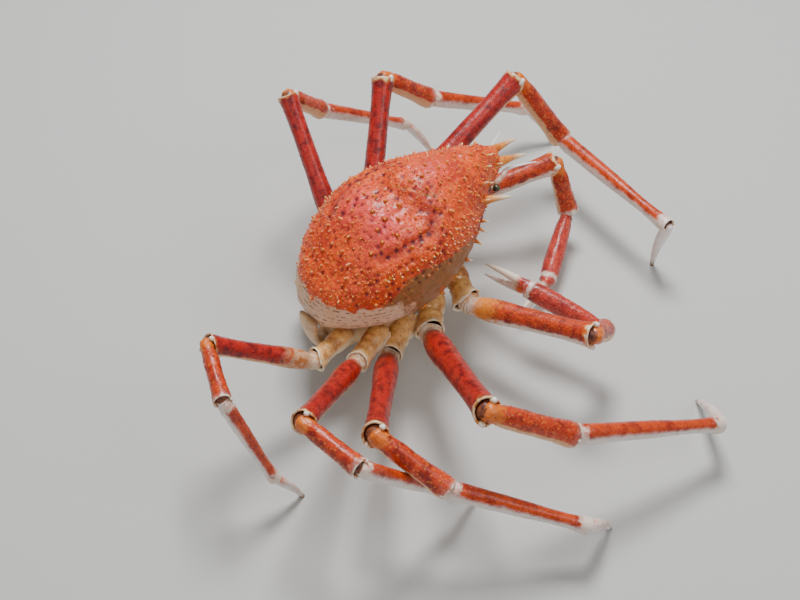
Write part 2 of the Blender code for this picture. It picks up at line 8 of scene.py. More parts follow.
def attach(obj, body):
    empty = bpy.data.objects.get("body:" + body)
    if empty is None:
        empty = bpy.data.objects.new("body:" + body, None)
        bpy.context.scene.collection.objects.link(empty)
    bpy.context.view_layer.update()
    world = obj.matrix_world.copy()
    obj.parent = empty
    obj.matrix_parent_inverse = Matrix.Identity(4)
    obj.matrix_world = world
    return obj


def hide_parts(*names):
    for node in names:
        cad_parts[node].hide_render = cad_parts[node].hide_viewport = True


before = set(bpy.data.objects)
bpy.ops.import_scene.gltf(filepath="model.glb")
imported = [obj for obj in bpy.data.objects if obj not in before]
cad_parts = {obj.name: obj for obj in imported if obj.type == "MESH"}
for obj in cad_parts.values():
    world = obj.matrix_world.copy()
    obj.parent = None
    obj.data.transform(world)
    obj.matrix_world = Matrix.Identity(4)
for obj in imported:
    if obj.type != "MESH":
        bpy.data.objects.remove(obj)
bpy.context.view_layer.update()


# Carapace.
# The domed back shell, calcified cuticle with swollen regions, grooves and rows of pits
# between them. A closed skin of rings from the smooth rear margin to the root of the rostrum.
CARAPACE_LENGTH = 0.185
CARAPACE_HALF_WIDTH = 0.056
DOME_HEIGHT = 0.050
FLANK_DEPTH = 0.021
REAR_Y = -0.0856
BODY_HEIGHT = 0.092
BODY_TURN = 4.5
BODY_PITCH = 12.0
BODY_ROLL = 2.0
CRAB_SHIFT = Vector((-0.04665, -0.01956, 0.0))
# Share of the length, then half width, height and half width of the underside, in shares.
CARAPACE_STATIONS = (
    (0.00, 0.25, 0.09, 0.21), (0.05, 0.48, 0.38, 0.39), (0.14, 0.74, 0.63, 0.58),
    (0.28, 0.95, 0.86, 0.71), (0.42, 1.00, 1.02, 0.76), (0.56, 0.90, 1.05, 0.69),
    (0.68, 0.74, 0.93, 0.56), (0.78, 0.53, 0.80, 0.39), (0.87, 0.35, 0.68, 0.27),
    (0.94, 0.21, 0.50, 0.15), (1.00, 0.11, 0.28, 0.07),
)
# Place across and ahead, reach and height of each swollen or sunken region.
SWELLINGS = (
    (0.000, 0.036, 0.017, 0.0050), (0.000, -0.026, 0.013, 0.0040),
    (0.029, -0.022, 0.020, 0.0040), (-0.029, -0.022, 0.020, 0.0040),
    (0.021, 0.006, 0.008, -0.0045), (-0.021, 0.006, 0.008, -0.0045),
    (0.000, 0.004, 0.007, -0.0025),
)
# Strength of each groove and the line it follows on both sides, seen from above.
GROOVES = (
    (1.0, ((0.0300, 0.0200), (0.0355, 0.0080), (0.0360, -0.0040), (0.0340, -0.0220),
           (0.0280, -0.0340))),
    (0.6, ((0.0180, -0.0360), (0.0165, -0.0230), (0.0130, -0.0080), (0.0106, 0.0054),
           (0.0020, 0.0080))),
    (0.5, ((0.0300, 0.0200), (0.0190, 0.0140), (0.0106, 0.0054))),
    (0.5, ((0.0140, 0.0540), (0.0190, 0.0360), (0.0190, 0.0140))),
)
PALE_RIDGE = ((-0.0060, 0.0100), (0.0010, 0.0127), (0.0146, 0.0199), (0.0200, 0.0290))
# Height of the lower edge of the orange, by the share of the length. Below it the flank is brown,
# partly its own colour and partly painted shade under the dome.
EDGE_LINE = ((0.00, 0.008), (0.14, 0.012), (0.23, 0.020), (0.33, 0.029), (0.43, 0.028),
             (0.52, 0.021), (0.64, 0.010), (0.72, -0.004), (1.00, -0.006))
# Painted shade: the eye sockets and a cheek hollow below the hepatic spine are dents only in colour,
# painted dark, the cheek's with a paler middle.
ORBIT = (0.0168, 0.0745, 0.0040)
ORBIT_RADIUS = 0.0062
CHEEK_SHADE_PLACE = (0.0335, 0.0510, -0.0010)
CHEEK_RADIUS = 0.0070
CHEEK_BOSS = 0.0034
FLUSHED_PATCHES = (
    (0.015, -0.018, 0.052, 0.019, 1.0), (-0.015, -0.018, 0.052, 0.017, 1.0),
    (0.000, 0.040, 0.054, 0.018, 0.6),
)
GROOVE_WIDTH = 0.0034
GROOVE_DEPTH = 0.0018
PIT_SPACING = 0.0070
PIT_RADIUS = 0.0016
PIT_DEPTH = 0.0009
PIT_ROWS = (0.12, 0.64)
PIT_SHARE = 0.7
PIT_SEED = 5
BLISTER_SPACING = 0.0036
BLISTER_HEIGHT = 0.0009
RIDGE_WIDTH = 0.0016
REAR_BAND = 0.018
REAR_RIPPLE = 0.00018
# Fine ripples and dark dashes along the rear margin, in radians per metre of height.
RIPPLE_RATE = 4200
DASH_RATE = 1900
CARAPACE_RINGS = 250
CARAPACE_TURNS = 340

body_matrix = (
    Matrix.Translation(CRAB_SHIFT + Vector((0, 0, BODY_HEIGHT)))
    @ Matrix.Rotation(math.radians(BODY_TURN), 4, "Z")
    @ Matrix.Rotation(math.radians(BODY_PITCH), 4, "X")
    @ Matrix.Rotation(math.radians(BODY_ROLL), 4, "Y")
)


def held(points):
    """Points of the body's own frame, where the crab holds its body."""
    points = np.atleast_2d(np.asarray(points, float))
    matrix = np.array(body_matrix)
    return points @ matrix[:3, :3].T + matrix[:3, 3]


def held_way(way):
    """A direction given in the body's own frame, as the crab holds its body."""
    return np.array((body_matrix.to_3x3() @ Vector(way)).normalized())


def unit(way):
    """A direction of length one."""
    return way / np.linalg.norm(way)


def linear(hex_colour):
    """A colour written as sRGB hex, as the linear values that Blender works in."""
    parts = [int(hex_colour[i:i + 2], 16) / 255 for i in (1, 3, 5)]
    light = [c / 12.92 if c < 0.04045 else ((c + 0.055) / 1.055) ** 2.4 for c in parts]
    return (*light, 1.0)


def add(tree, kind, settings=None, **inputs):
    """Adds a node: settings are its own properties, and inputs are values or linked sockets."""
    node = tree.nodes.new(kind)
    for name, value in (settings or {}).items():
        setattr(node, name, value)
    for name, value in inputs.items():
        key = int(name[1:]) if name[0] == "n" and name[1:].isdigit() else name.replace("_", " ")
        if isinstance(value, bpy.types.NodeSocket):
            tree.links.new(value, node.inputs[key])
        else:
            node.inputs[key].default_value = value
    return node


def mixed(tree, share, first, second):
    """A blend of two colours, given as hex or sockets, by a share."""
    colours = [linear(c) if isinstance(c, str) else c for c in (first, second)]
    node = add(tree, "ShaderNodeMix", {"data_type": "RGBA"}, n0=share, n6=colours[0], n7=colours[1])
    return node.outputs[2]


def ramped(tree, value, low, high):
    """A value spread smoothly from 0 at low to 1 at high."""
    settings = {"interpolation_type": "SMOOTHSTEP"}
    return add(tree, "ShaderNodeMapRange", settings, n0=value, n1=low, n2=high).outputs[0]


def clouds(tree, place, size_mm, detail, harshness):
    """Noise whose patches are about size_mm across."""
    return add(tree, "ShaderNodeTexNoise", Vector=place, Scale=1000 / size_mm, Detail=detail,
               Roughness=harshness).outputs["Fac"]


def scaled(tree, value, factor, offset=0.0):
    """A value times a factor plus an offset, either of which may be a socket."""
    return add(tree, "ShaderNodeMath", {"operation": "MULTIPLY_ADD"}, n0=value, n1=factor,
               n2=offset).outputs[0]


# The fourth field paints shade into grooves, pits, sockets, rim openings, folds and seams; on the
# carapace's rear band it also draws the shell's own dark dashes.
FIELDS = ("topside", "tip", "hollow", "zone", "blush")


# The groove colour is the colour of that painted shade; the same colour also draws the random dark
# pores.
def cuticle(name, top, dark, under, tip, zone, blush="#F06A5E", groove="#43130E", mottle_mm=7.0,
            pale_from=0.35, pale_to=0.62, rough=0.42, grain_mm=0.7, bump=0.00025,
            speck="#F2A45A", speck_share=0.3, grime=0.45):
    """Calcified crab cuticle: mottled above, pale below, with zones painted on its points and
    painted shade in its hollows.

    Real pores are about 0.1 mm across, too fine to show, so they are drawn at grain_mm.
    """
    shell = bpy.data.materials.new(name)
    shell.use_nodes = True
    tree = shell.node_tree
    surface = tree.nodes["Principled BSDF"]
    place = add(tree, "ShaderNodeTexCoord").outputs["Object"]
    field = {key: add(tree, "ShaderNodeAttribute", {"attribute_name": key}).outputs["Fac"]
             for key in FIELDS}
    broad = clouds(tree, place, mottle_mm * 3, 5.0, 0.62)
    small = clouds(tree, place, mottle_mm, 4.0, 0.65)
    fine = clouds(tree, place, grain_mm * 2, 3.0, 0.7)
    cells = add(tree, "ShaderNodeTexVoronoi", Vector=place, Scale=1000 / (grain_mm * 3.0))
    grains = add(tree, "ShaderNodeTexVoronoi", Vector=place, Scale=1000 / (grain_mm * 1.6))
    # The upper side: its own colour in dark mottles, dark pores and pale specks.
    edge = scaled(tree, broad, 0.36, field["topside"])
    upper = mixed(tree, ramped(tree, broad, 0.44, 0.66), top, dark)
    upper = mixed(tree, scaled(tree, ramped(tree, small, 0.50, 0.70), 0.75), upper, dark)
    upper = mixed(tree, scaled(tree, ramped(tree, fine, 0.48, 0.66), grime), upper, groove)
    dots = scaled(tree, ramped(tree, cells.outputs["Distance"], 0.40, 0.18), speck_share)
    upper = mixed(tree, dots, upper, speck)
    lower = mixed(tree, ramped(tree, small, 0.54, 0.86), under, top)
    colour = mixed(tree, ramped(tree, edge, pale_from + 0.18, pale_to + 0.18), lower, upper)
    # The painted fields over it, with ragged edges: rims and heads, flushes, painted shade in the
    # hollows with the rear band's dark dashes, and tips.
    ragged = scaled(tree, fine, 0.3, scaled(tree, field["zone"], 1.0, -0.80))
    ragged = scaled(tree, small, 1.3, ragged)
    zoned = mixed(tree, ramped(tree, fine, 0.45, 0.75), zone, dark)
    zoned = mixed(tree, 0.35, zone, zoned)
    colour = mixed(tree, ramped(tree, ragged, 0.30, 0.80), colour, zoned)
    flushed = mixed(tree, scaled(tree, ramped(tree, small, 0.46, 0.66), 0.45), blush, dark)
    colour = mixed(tree, field["blush"], colour, flushed)
    # Painted shade: the groove colour darkens the recesses where shade falls, and draws the rear
    # band's real dashes.
    colour = mixed(tree, ramped(tree, field["hollow"], 0.05, 0.95), colour, groove)
    colour = mixed(tree, ramped(tree, field["tip"], 0.15, 0.85), colour, tip)
    tree.links.new(colour, surface.inputs["Base Color"])
    # A thin natural varnish, worn unevenly, over a lime shell that lets a little light in.
    tree.links.new(scaled(tree, small, 0.35, 0.05), surface.inputs["Coat Weight"])
    worn = scaled(tree, small, 0.34, scaled(tree, fine, 0.12, rough - 0.23))
    tree.links.new(worn, surface.inputs["Roughness"])
    surface.inputs["Coat Roughness"].default_value = 0.2
    surface.inputs["Specular IOR Level"].default_value = 0.42
    surface.inputs["Subsurface Weight"].default_value = 0.05
    surface.inputs["Subsurface Radius"].default_value = (0.004, 0.0015, 0.0008)
    height = scaled(tree, grains.outputs["Distance"], -0.7, small)
    height = scaled(tree, fine, 0.5, height)
    relief = add(tree, "ShaderNodeBump", Strength=0.8, Distance=bump, Height=height)
    tree.links.new(relief.outputs["Normal"], surface.inputs["Normal"])
    return shell


def set_out(name, data):
    """A new object in the scene, with its mesh, camera or lamp."""
    item = bpy.data.objects.new(name, data)
    bpy.context.scene.collection.objects.link(item)
    return item


def painted(name, points, faces, **fields):
    """A smooth mesh that faces outwards, with its fields painted on its points."""
    mesh = bpy.data.meshes.new(name)
    mesh.from_pydata(np.asarray(points).tolist(), [], faces)
    work = bmesh.new()
    work.from_mesh(mesh)
    bmesh.ops.recalc_face_normals(work, faces=work.faces)
    work.to_mesh(mesh)
    work.free()
    mesh.shade_smooth()
    for field in FIELDS:
        values = np.broadcast_to(np.asarray(fields.get(field, 0.0), float), len(points))
        mesh.attributes.new(field, "FLOAT", "POINT").data.foreach_set("value", values.copy())
    return mesh


def fixed(piece, nodes):
    """Holds a finished piece to the body, in the place of its plain nodes."""
    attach(piece, "root")
    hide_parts(*nodes)
    return piece


def placed(name, points, faces, shell, slot, nodes, **fields):
    """A finished closed piece: its mesh, its painted fields, its material and its place."""
    mesh = painted(name, points, faces, **fields)
    mesh.materials.append(shell)
    return fixed(set_out(name, mesh), nodes)


def skin(rings):
    """Points and faces of a skin through rings of points, closed at both ends by a pole."""
    rows, sides, _ = rings.shape
    i = np.arange(sides)
    j = (i + 1) % sides
    faces = []
    for row in range(rows - 1):
        low, high = row * sides, (row + 1) * sides
        faces += np.stack([low + i, low + j, high + j, high + i], 1).tolist()
    first, last = rows * sides, rows * sides + 1
    faces += [(int(b), int(a), first) for a, b in zip(i, j)]
    top = (rows - 1) * sides
    faces += [(int(top + a), int(top + b), last) for a, b in zip(i, j)]
    poles = np.stack([rings[0].mean(0), rings[-1].mean(0)])
    return np.concatenate([rings.reshape(-1, 3), poles]), faces


def poled(values):
    """Values of a skin's points with its two end points added."""
    return np.append(values, (values[0], values[-1]))


def curve_through(stations, at):
    """Values of stations at the places asked for, through them without a kink."""
    stations = np.asarray(stations, float)
    known = stations[:, 0]
    low = np.clip(np.searchsorted(known, at) - 1, 0, len(known) - 2)
    span = known[low + 1] - known[low]
    t = ((at - known[low]) / span)[:, None]
    values = stations[:, 1:]
    slopes = np.gradient(values, known, axis=0)
    first = (1 + 2 * t) * (1 - t) ** 2 * values[low] + t * (1 - t) ** 2 * span[:, None] * slopes[low]
    return (first + t ** 2 * (3 - 2 * t) * values[low + 1]
            + t ** 2 * (t - 1) * span[:, None] * slopes[low + 1])


def carapace_surface(share, turn):
    """Smooth points of the carapace in the body's own frame: turn runs over the top."""
    wide, tall, under = curve_through(CARAPACE_STATIONS, share).T
    wide, under = wide * CARAPACE_HALF_WIDTH, under * CARAPACE_HALF_WIDTH
    y = REAR_Y + share * CARAPACE_LENGTH
    c, s = np.cos(turn), np.sin(turn)
    steep = np.abs(s)
    x = np.where(s >= 0, wide * np.abs(c) ** 0.92,
                 np.abs(c) ** 0.5 * (wide + (under - wide) * steep ** 1.2)) * np.sign(c)
    relief = sum(h * np.exp(-((x - side) ** 2 + (y - ahead) ** 2) / (2 * spread ** 2))
                 for side, ahead, spread, h in SWELLINGS)
    flank = FLANK_DEPTH * (0.45 + 0.55 * np.sin(np.pi * np.minimum(1.0, share * 1.1 + 0.05)))
    z = np.where(s >= 0, tall * DOME_HEIGHT * steep ** 0.88 + relief * steep, -flank * steep ** 0.8)
    return np.stack([x, y, z], -1)


def noisy(points, size, seed=0.0):
    """Smooth noise from -1 to 1 at each point, its bumps about size across."""
    return np.array([noise.noise((x / size + seed, y / size, z / size)) for x, y, z in points])


def outward(rings):
    """Unit normals of a grid of points that closes around its second axis."""
    along = np.gradient(rings, axis=0)
    around = np.roll(rings, -1, axis=1) - np.roll(rings, 1, axis=1)
    normals = np.cross(around, along)
    normals /= np.linalg.norm(normals, axis=-1, keepdims=True) + 1e-12
    middle = rings.mean(1, keepdims=True)
    return normals * np.sign(((rings - middle) * normals).sum(-1).mean())


def from_line(points, line):
    """Distance of each point, seen from above, to a line through the places given."""
    nearest = np.full(len(points), 1.0)
    for a, b in zip(line, line[1:]):
        a, b = np.array(a), np.array(b)
        t = np.clip(((points[:, :2] - a) @ (b - a)) / ((b - a) @ (b - a)), 0, 1)
        gap = np.linalg.norm(points[:, :2] - a - t[:, None] * (b - a), axis=1)
        nearest = np.minimum(nearest, gap)
    return nearest


def near(points, place, reach):
    """One at a place, falling off smoothly over a reach."""
    return np.exp(-((points - np.array(place)) ** 2).sum(1) / reach ** 2)


share = 0.5 - 0.5 * np.cos(np.pi * (np.arange(CARAPACE_RINGS) + 0.5) / CARAPACE_RINGS)
turn = 2 * np.pi * (np.arange(CARAPACE_TURNS) + 0.5) / CARAPACE_TURNS
shares = np.repeat(share, CARAPACE_TURNS)
turns = np.tile(turn, CARAPACE_RINGS)
grid = carapace_surface(shares, turns).reshape(CARAPACE_RINGS, CARAPACE_TURNS, 3)
flat = grid.reshape(-1, 3)
dome = np.clip(np.sin(turns) * 3, 0, 1)
sulcus = np.zeros(len(flat))
for strength, groove in GROOVES:
    for side in (1, -1):
        gap = from_line(flat, [(side * x, y) for x, y in groove])
        gap = gap + 0.0012 * noisy(flat, 0.006, 2.0)
        sulcus = np.maximum(sulcus, strength * np.exp(-(gap / GROOVE_WIDTH) ** 2) * dome)
pits = np.zeros(len(flat))
dice = np.random.default_rng(PIT_SEED)
for row in np.arange(*PIT_ROWS, PIT_SPACING / CARAPACE_LENGTH):
    wide, tall, _ = curve_through(CARAPACE_STATIONS, np.array([row]))[0]
    arc = np.pi * math.hypot(wide * CARAPACE_HALF_WIDTH, tall * DOME_HEIGHT) / math.sqrt(2)
    count = int(arc / PIT_SPACING)
    over = np.radians(18 + 144 * (np.arange(count) + dice.uniform(-0.3, 0.3, count)) / count)
    rows = row + dice.uniform(-0.3, 0.3, count) * PIT_SPACING / CARAPACE_LENGTH
    for place in carapace_surface(rows, over)[dice.random(count) < PIT_SHARE]:
        close = np.abs(flat - place).max(1) < 2.5 * PIT_RADIUS
        dent = near(flat[close], place, PIT_RADIUS * dice.uniform(0.7, 1.3))
        pits[close] = np.maximum(pits[close], dent)
rear = np.clip((REAR_BAND - flat[:, 2] + 0.003 * noisy(flat, 0.008)) / 0.004, 0, 1)
rear = rear * np.clip((0.36 - shares + 0.03 * noisy(flat, 0.01)) / 0.16, 0, 1)
rear = rear * np.clip((flat[:, 2] + 0.016) / 0.006, 0, 1)
# Below the edge line the carapace takes its brown under colour: partly the flank's own colour,
# partly painted shade.
line_z = np.interp(shares, *np.array(EDGE_LINE).T) + 0.0025 * noisy(flat, 0.004)
upper = np.clip(0.5 + (flat[:, 2] - line_z) / 0.012, 0, 1)
wart = np.array([max(0.0, 0.62 - noise.voronoi(place)[0][0])
                 for place in flat / BLISTER_SPACING]) / 0.62
lumps = BLISTER_HEIGHT * wart + 0.0006 * noisy(flat, 0.006) + 0.00025 * noisy(flat, 0.0015)
lumps = lumps * (1 - 0.9 * rear) + rear * REAR_RIPPLE * np.sin(flat[:, 2] * RIPPLE_RATE)
lumps = lumps * np.clip(flat[:, 2] / 0.02 + 0.6, 0.25, 1.0)
lumps = lumps - GROOVE_DEPTH * sulcus - PIT_DEPTH * pits * (1 - rear)
flat = flat + outward(grid).reshape(-1, 3) * lumps[:, None]
snout = 0.5 * np.maximum(near(flat, (0.0, 0.094, 0.006), 0.014),
                         near(np.abs(flat), (0.016, 0.076, 0.010), 0.008))
# Painted shade: grooves, pits, eye sockets and the cheek below the hepatic spine are darkened where
# shade falls; the dashes of the rear band are the shell's own dark marks.
orbit_shade = np.zeros(len(flat))
cheek_shade = np.zeros(len(flat))
for side in (1, -1):
    orbit_shade = np.maximum(orbit_shade, near(flat, np.array(ORBIT) * (side, 1, 1), ORBIT_RADIUS))
    place = np.array(CHEEK_SHADE_PLACE) * (side, 1, 1)
    cheek_shade = np.maximum(cheek_shade, near(flat, place, CHEEK_RADIUS) - 1.5 * near(flat, place, CHEEK_BOSS))
hollow = 0.42 * sulcus + 0.8 * pits * (1 - rear) + 1.1 * orbit_shade + 1.3 * np.clip(cheek_shade, 0, 1)
hollow = np.clip(hollow, 0, 1)
dashes = np.sin(flat[:, 2] * DASH_RATE + 0.8 * noisy(flat, 0.008, 4.0))
dashes = np.clip(1.8 * dashes - 0.5, 0, 1)
dashes = dashes * np.clip(0.5 + 4 * noisy(flat, 0.0026, 6.0), 0, 1) * rear
hollow = np.maximum(hollow, 0.75 * dashes)
ridge = np.exp(-(from_line(flat, PALE_RIDGE) / RIDGE_WIDTH) ** 2) * dome
blush = 0.85 * np.maximum.reduce([strength * near(flat, place, reach)
                                  for *place, reach, strength in FLUSHED_PATCHES])
# Thick limy cuticle: a satin sheen that the grain and the warts break up.
carapace_cuticle = cuticle(
    "carapace_cuticle", "#F4540C", "#BE3008", "#96602E", "#F4A850", "#EEC6A2", blush="#EE4448",
    groove="#5E0C1E", mottle_mm=8.0, pale_from=0.36, pale_to=0.64, grain_mm=1.0, bump=0.0005,
    speck="#F8962A", speck_share=0.55, rough=0.46, grime=0.3)
points, faces = skin(held(flat).reshape(CARAPACE_RINGS, CARAPACE_TURNS, 3))
pale = np.maximum.reduce([0.28 * wart * (1 - rear), 0.4 * ridge, snout])
placed("carapace_shell", points, faces, carapace_cuticle, "carapace", ["carapace"],
       topside=poled(upper), tip=poled(pale), hollow=poled(hollow), zone=poled(rear),
       blush=poled(blush))


# Spines of the head and margins.
# The two horns of the rostrum, the spines around the eyes, a row along each margin and short
# points above it: tapered cuticle grown from the shell, orange at the root and cream at the tip.

# Root, tip and radius of each spine, in the body's own frame.
HEAD_SPINES = (
    ((0.0054, 0.0890, 0.0055), (0.0108, 0.1208, -0.0050), 0.0052),
    ((-0.0047, 0.0890, 0.0055), (-0.0052, 0.1265, -0.0050), 0.0052),
)
PAIRED_SPINES = (
    ((0.0090, 0.0730, 0.0080), (0.0150, 0.0790, 0.0105), 0.0022),
    ((0.0176, 0.0560, 0.0030), (0.0345, 0.0830, 0.0020), 0.0060),
    ((0.0300, 0.0480, -0.0060), (0.0400, 0.0530, -0.0080), 0.0024),
    ((0.0360, 0.0400, -0.0060), (0.0460, 0.0430, -0.0080), 0.0024),
)
MARGIN_SPINES = 7
MARGIN_ANGLE = -4.0
MARGIN_SPINE_LENGTH = 0.0058
CLUSTER_LENGTH = 0.0024
# Share of the shell's length and degrees over the back.
CLUSTER_SPINES = (
    (0.61, 18), (0.63, 24), (0.65, 14), (0.67, 20), (0.69, 10), (0.60, 27), (0.58, 22),
    (0.66, 27), (0.62, 12), (0.64, 20), (0.68, 15), (0.70, 20), (0.59, 32), (0.56, 31),
    (0.53, 36), (0.47, 38), (0.55, 26), (0.52, 29), (0.49, 31), (0.46, 33), (0.43, 34),
    (0.40, 36), (0.37, 37), (0.34, 38), (0.31, 39), (0.28, 41), (0.25, 42),
)
BROW_SPINES = ((0.80, 12), (0.84, 28), (0.87, 16), (0.89, 42), (0.93, 60), (0.96, 20))
BROW_LENGTH = 0.0052
SPINE_SIDES = 18
SPINE_RINGS = 26
SPINE_CURL = 0.05


def side_axes(along):
    """The level axis across a limb and the one that completes its section."""
    across = np.cross(along, (0.0, 0.0, 1.0))
    if np.linalg.norm(across) < 0.05:
        across = np.array((1.0, 0.0, 0.0))
    across = unit(across - along * (across @ along))
    return across, np.cross(across, along)


def ovals(centres, across, upward, wide, tall, sides):
    """Rings of oval sections, one for each centre; the axes may turn from ring to ring."""
    turn = 2 * np.pi * np.arange(sides) / sides
    rows = len(centres)
    across, upward = (np.broadcast_to(axis, (rows, 3)) for axis in (across, upward))
    wide, tall = (np.broadcast_to(size, rows) for size in (wide, tall))
    return (centres[:, None] + (np.cos(turn)[None, :, None] * (across * wide[:, None])[:, None])
            + (np.sin(turn)[None, :, None] * (upward * tall[:, None])[:, None]))


def spine(root, tip, radius):
    """Rings of a tapered, slightly curled spine from a root sunk into the shell."""
    way = unit(tip - root)
    across, upward = side_axes(way)
    t = np.linspace(0, 1, SPINE_RINGS)
    length = np.linalg.norm(tip - root)
    thick = radius * (0.08 + 0.92 * (1 - t) ** 0.85) * (1 + 0.05 * np.sin(17 * t))
    flare = radius * 0.5 * np.exp(-(t / 0.10) ** 2)
    centres = root - way * radius + np.outer(t * (length + radius), way)
    centres = centres + np.outer(SPINE_CURL * length * np.sin(np.pi * t), upward)
    return ovals(centres, across, upward, thick + flare, thick + flare, SPINE_SIDES)


def joined(parts):
    """Points, faces and a field of several closed skins, each with its rings and values."""
    points, faces, fields = [], [], []
    count = 0
    for rings, values in parts:
        own_points, own_faces = skin(rings)
        faces += [tuple(index + count for index in face) for face in own_faces]
        count += len(own_points)
        points.append(own_points)
        fields.append(poled(np.repeat(np.broadcast_to(values, rings.shape[0]), rings.shape[1])))
    return np.concatenate(points), faces, np.concatenate(fields)


def on_shell(share_along, over, side):
    """A place on the shell, by its share of the length and its angle over the back."""
    over = over if side == 1 else 180.0 - over
    return carapace_surface(np.array([share_along]), np.radians(np.array([over])))[0]


spines = []
spine_tip = np.linspace(0, 1, SPINE_RINGS) ** 2.5
for root, tip, radius in HEAD_SPINES:
    spines.append((spine(held(root)[0], held(tip)[0], radius), spine_tip))
for side in (1, -1):
    for root, tip, radius in PAIRED_SPINES:
        ends = [held((side * x, y, z))[0] for x, y, z in (root, tip)]
        spines.append((spine(*ends, radius), spine_tip))
    grown = []
    for number in range(MARGIN_SPINES):
        share_along = 0.34 + 0.50 * number / (MARGIN_SPINES - 1)
        length = MARGIN_SPINE_LENGTH * (0.8 + 0.05 * number)
        grown.append((share_along, MARGIN_ANGLE, (0.85, 0.50, 0.12), length, 0.0022, 1.0))
    for share_along, over in BROW_SPINES:
        length = BROW_LENGTH * dice.uniform(0.7, 1.1)
        grown.append((share_along, over, (0.55, 0.75, 0.25), length, 0.0020, 1.0))
    for share_along, over in CLUSTER_SPINES:
        over = over + dice.uniform(-3, 3)
        share_along = share_along + dice.uniform(-0.008, 0.008)
        length = CLUSTER_LENGTH * dice.uniform(0.6, 1.2)
        grown.append((share_along, over, (0.85, 0.20, 0.30), length, 0.0015, 0.8))
    for share_along, over, lean, length, radius, pale in grown:
        place = on_shell(share_along, over, side)
        way = unit(np.array(lean) * (side, 1, 1))
        ends = held(place)[0], held(place + way * length)[0]
        spines.append((spine(*ends, radius), pale * spine_tip))
points, faces, tips = joined(spines)
# The same cuticle, rubbed smooth: the points catch small highlights.
spine_cuticle = cuticle("spine_cuticle", "#F08E1A", "#CC5A10", "#E08A38", "#F6E2BC", "#E89038",
                        mottle_mm=4.0, grain_mm=0.5, bump=0.0002, speck="#F4B060", rough=0.36)
placed("head_spines", points, faces, spine_cuticle, "carapace", ["carapace"], topside=0.8,
       tip=tips)


# Limb segments.
# Ten jointed limbs: each segment is a tube of cuticle whose rounded head turns in the flared
# rim of the one before, cut back on the side that the joint bends to.

# Lengths of merus, carpus, propodus or palm, and dactyl or finger, then the merus's radius.
PAIR_SIZES = {
    1: (0.105, 0.047, 0.0675, 0.039, 0.0088),
    2: (0.1445, 0.073, 0.129, 0.058, 0.0094),
    3: (0.126, 0.0587, 0.1035, 0.046, 0.0088),
    4: (0.1135, 0.0505, 0.1005, 0.0437, 0.0078),
    5: (0.0937, 0.048, 0.0826, 0.037, 0.0070),
}
PAIR_ROOTS = {
    1: (0.0250, 0.0248, -0.0375), 2: (0.0345, -0.0025, -0.0340),
    3: (0.0360, -0.0262, -0.0340), 4: (0.0347, -0.0518, -0.0268),
    5: (0.0200, -0.0718, -0.0230),
}
COXA_LENGTH = 0.036
# By pair and side: swing and rise of the coxa in the body's frame, compass and rise of the next
# three segments, and the compass of the last one, all in degrees.
LIMB_POSES = {
    (1, 1): (-22, -5, 23, 16, 119, -44, -157, 7, -168),
    (2, 1): (-45, -1, -20, 31, 64, -35, 73, -21, 149),
    (3, 1): (-70, -12, -40, 29, 26, -25, 50, -21, 98),
    (4, 1): (-70, 12, -55, 32, 13, -3, 81, -50, 87),
    (5, 1): (-81, 12, -104, 38, -18, -3, 32, -68, 72),
    (1, -1): (76, -30, 70, 14, 11, -67, -54, -15, -73),
    (2, -1): (70, -14, 98, 22, 46, -55, 0, 2, 163),
    (3, -1): (64, -30, 137, 38, 83, -43, 76, -25, 45),
    (4, -1): (58, -2, 169, 38, 102, -48, 87, -35, 53),
    (5, -1): (22, -31, 118, -6, 55, 27, 100, -21, -137),
}
SIDE_NAMES = {1: "right", -1: "left"}
LIMB_SIDES = 48
AROUND = 2 * np.pi * np.arange(LIMB_SIDES) / LIMB_SIDES
RING_SPACING = 0.0014
ROLLED_LIP = np.array([(0.05, 0.97), (0.03, 0.88), (-0.10, 0.80), (-0.35, 0.74), (-0.70, 0.70)])


def heading(compass, rise):
    """Unit direction from a compass angle and a rise, both in degrees."""
    level = math.cos(math.radians(rise))
    return np.array((level * math.cos(math.radians(compass)),
                     level * math.sin(math.radians(compass)), math.sin(math.radians(rise))))


limbs = {}
for (pair, side), (swing, root_rise, *pose) in LIMB_POSES.items():
    root = np.array(PAIR_ROOTS[pair])
    base = root + heading(swing, root_rise) * COXA_LENGTH
    joints = [held((side * p[0], p[1], p[2]))[0] for p in (root, base)]
    for length, compass, rise in zip(PAIR_SIZES[pair], pose[0:6:2], pose[1:6:2]):
        joints.append(joints[-1] + heading(compass, rise) * length)
    if pair > 1:
        reach = math.sqrt(PAIR_SIZES[pair][3] ** 2 - joints[-1][2] ** 2)
        foot = joints[-1] * (1, 1, 0) + heading(pose[6], 0.0) * reach
    else:
        foot = joints[-1] + heading(pose[6], 0.0) * PAIR_SIZES[pair][3]
    joints.append(foot)
    name = f"claw_{SIDE_NAMES[side]}" if pair == 1 else f"leg_{SIDE_NAMES[side]}_{pair}"
    limbs[name] = {"pair": pair, "side": side, "joints": joints,
                   "ways": [unit(b - a) for a, b in zip(joints, joints[1:])],
                   "sizes": (COXA_LENGTH, *PAIR_SIZES[pair][:4]), "radius": PAIR_SIZES[pair][4],
                   "last_compass": pose[6]}
claws = {name: limb for name, limb in limbs.items() if limb["pair"] == 1}
legs = {name: limb for name, limb in limbs.items() if limb["pair"] > 1}


def head_stations(radius):
    """The rounded head that a segment turns on, ahead of its neck."""
    return [(-0.70 * radius, 0.30 * radius), (-0.55 * radius, 0.66 * radius),
            (-0.2 * radius, 0.95 * radius), (0.1 * radius, radius)]


def stations_of(head, profile, length, radius):
    """Distances and radii of a head and a profile.

    A profile's rows hold a distance in lengths plus radii, and a radius in radii.
    """
    ahead = head_stations(head * radius) if head else []
    return np.array(ahead + [(a * length + b * radius, c * radius) for a, b, c in profile])


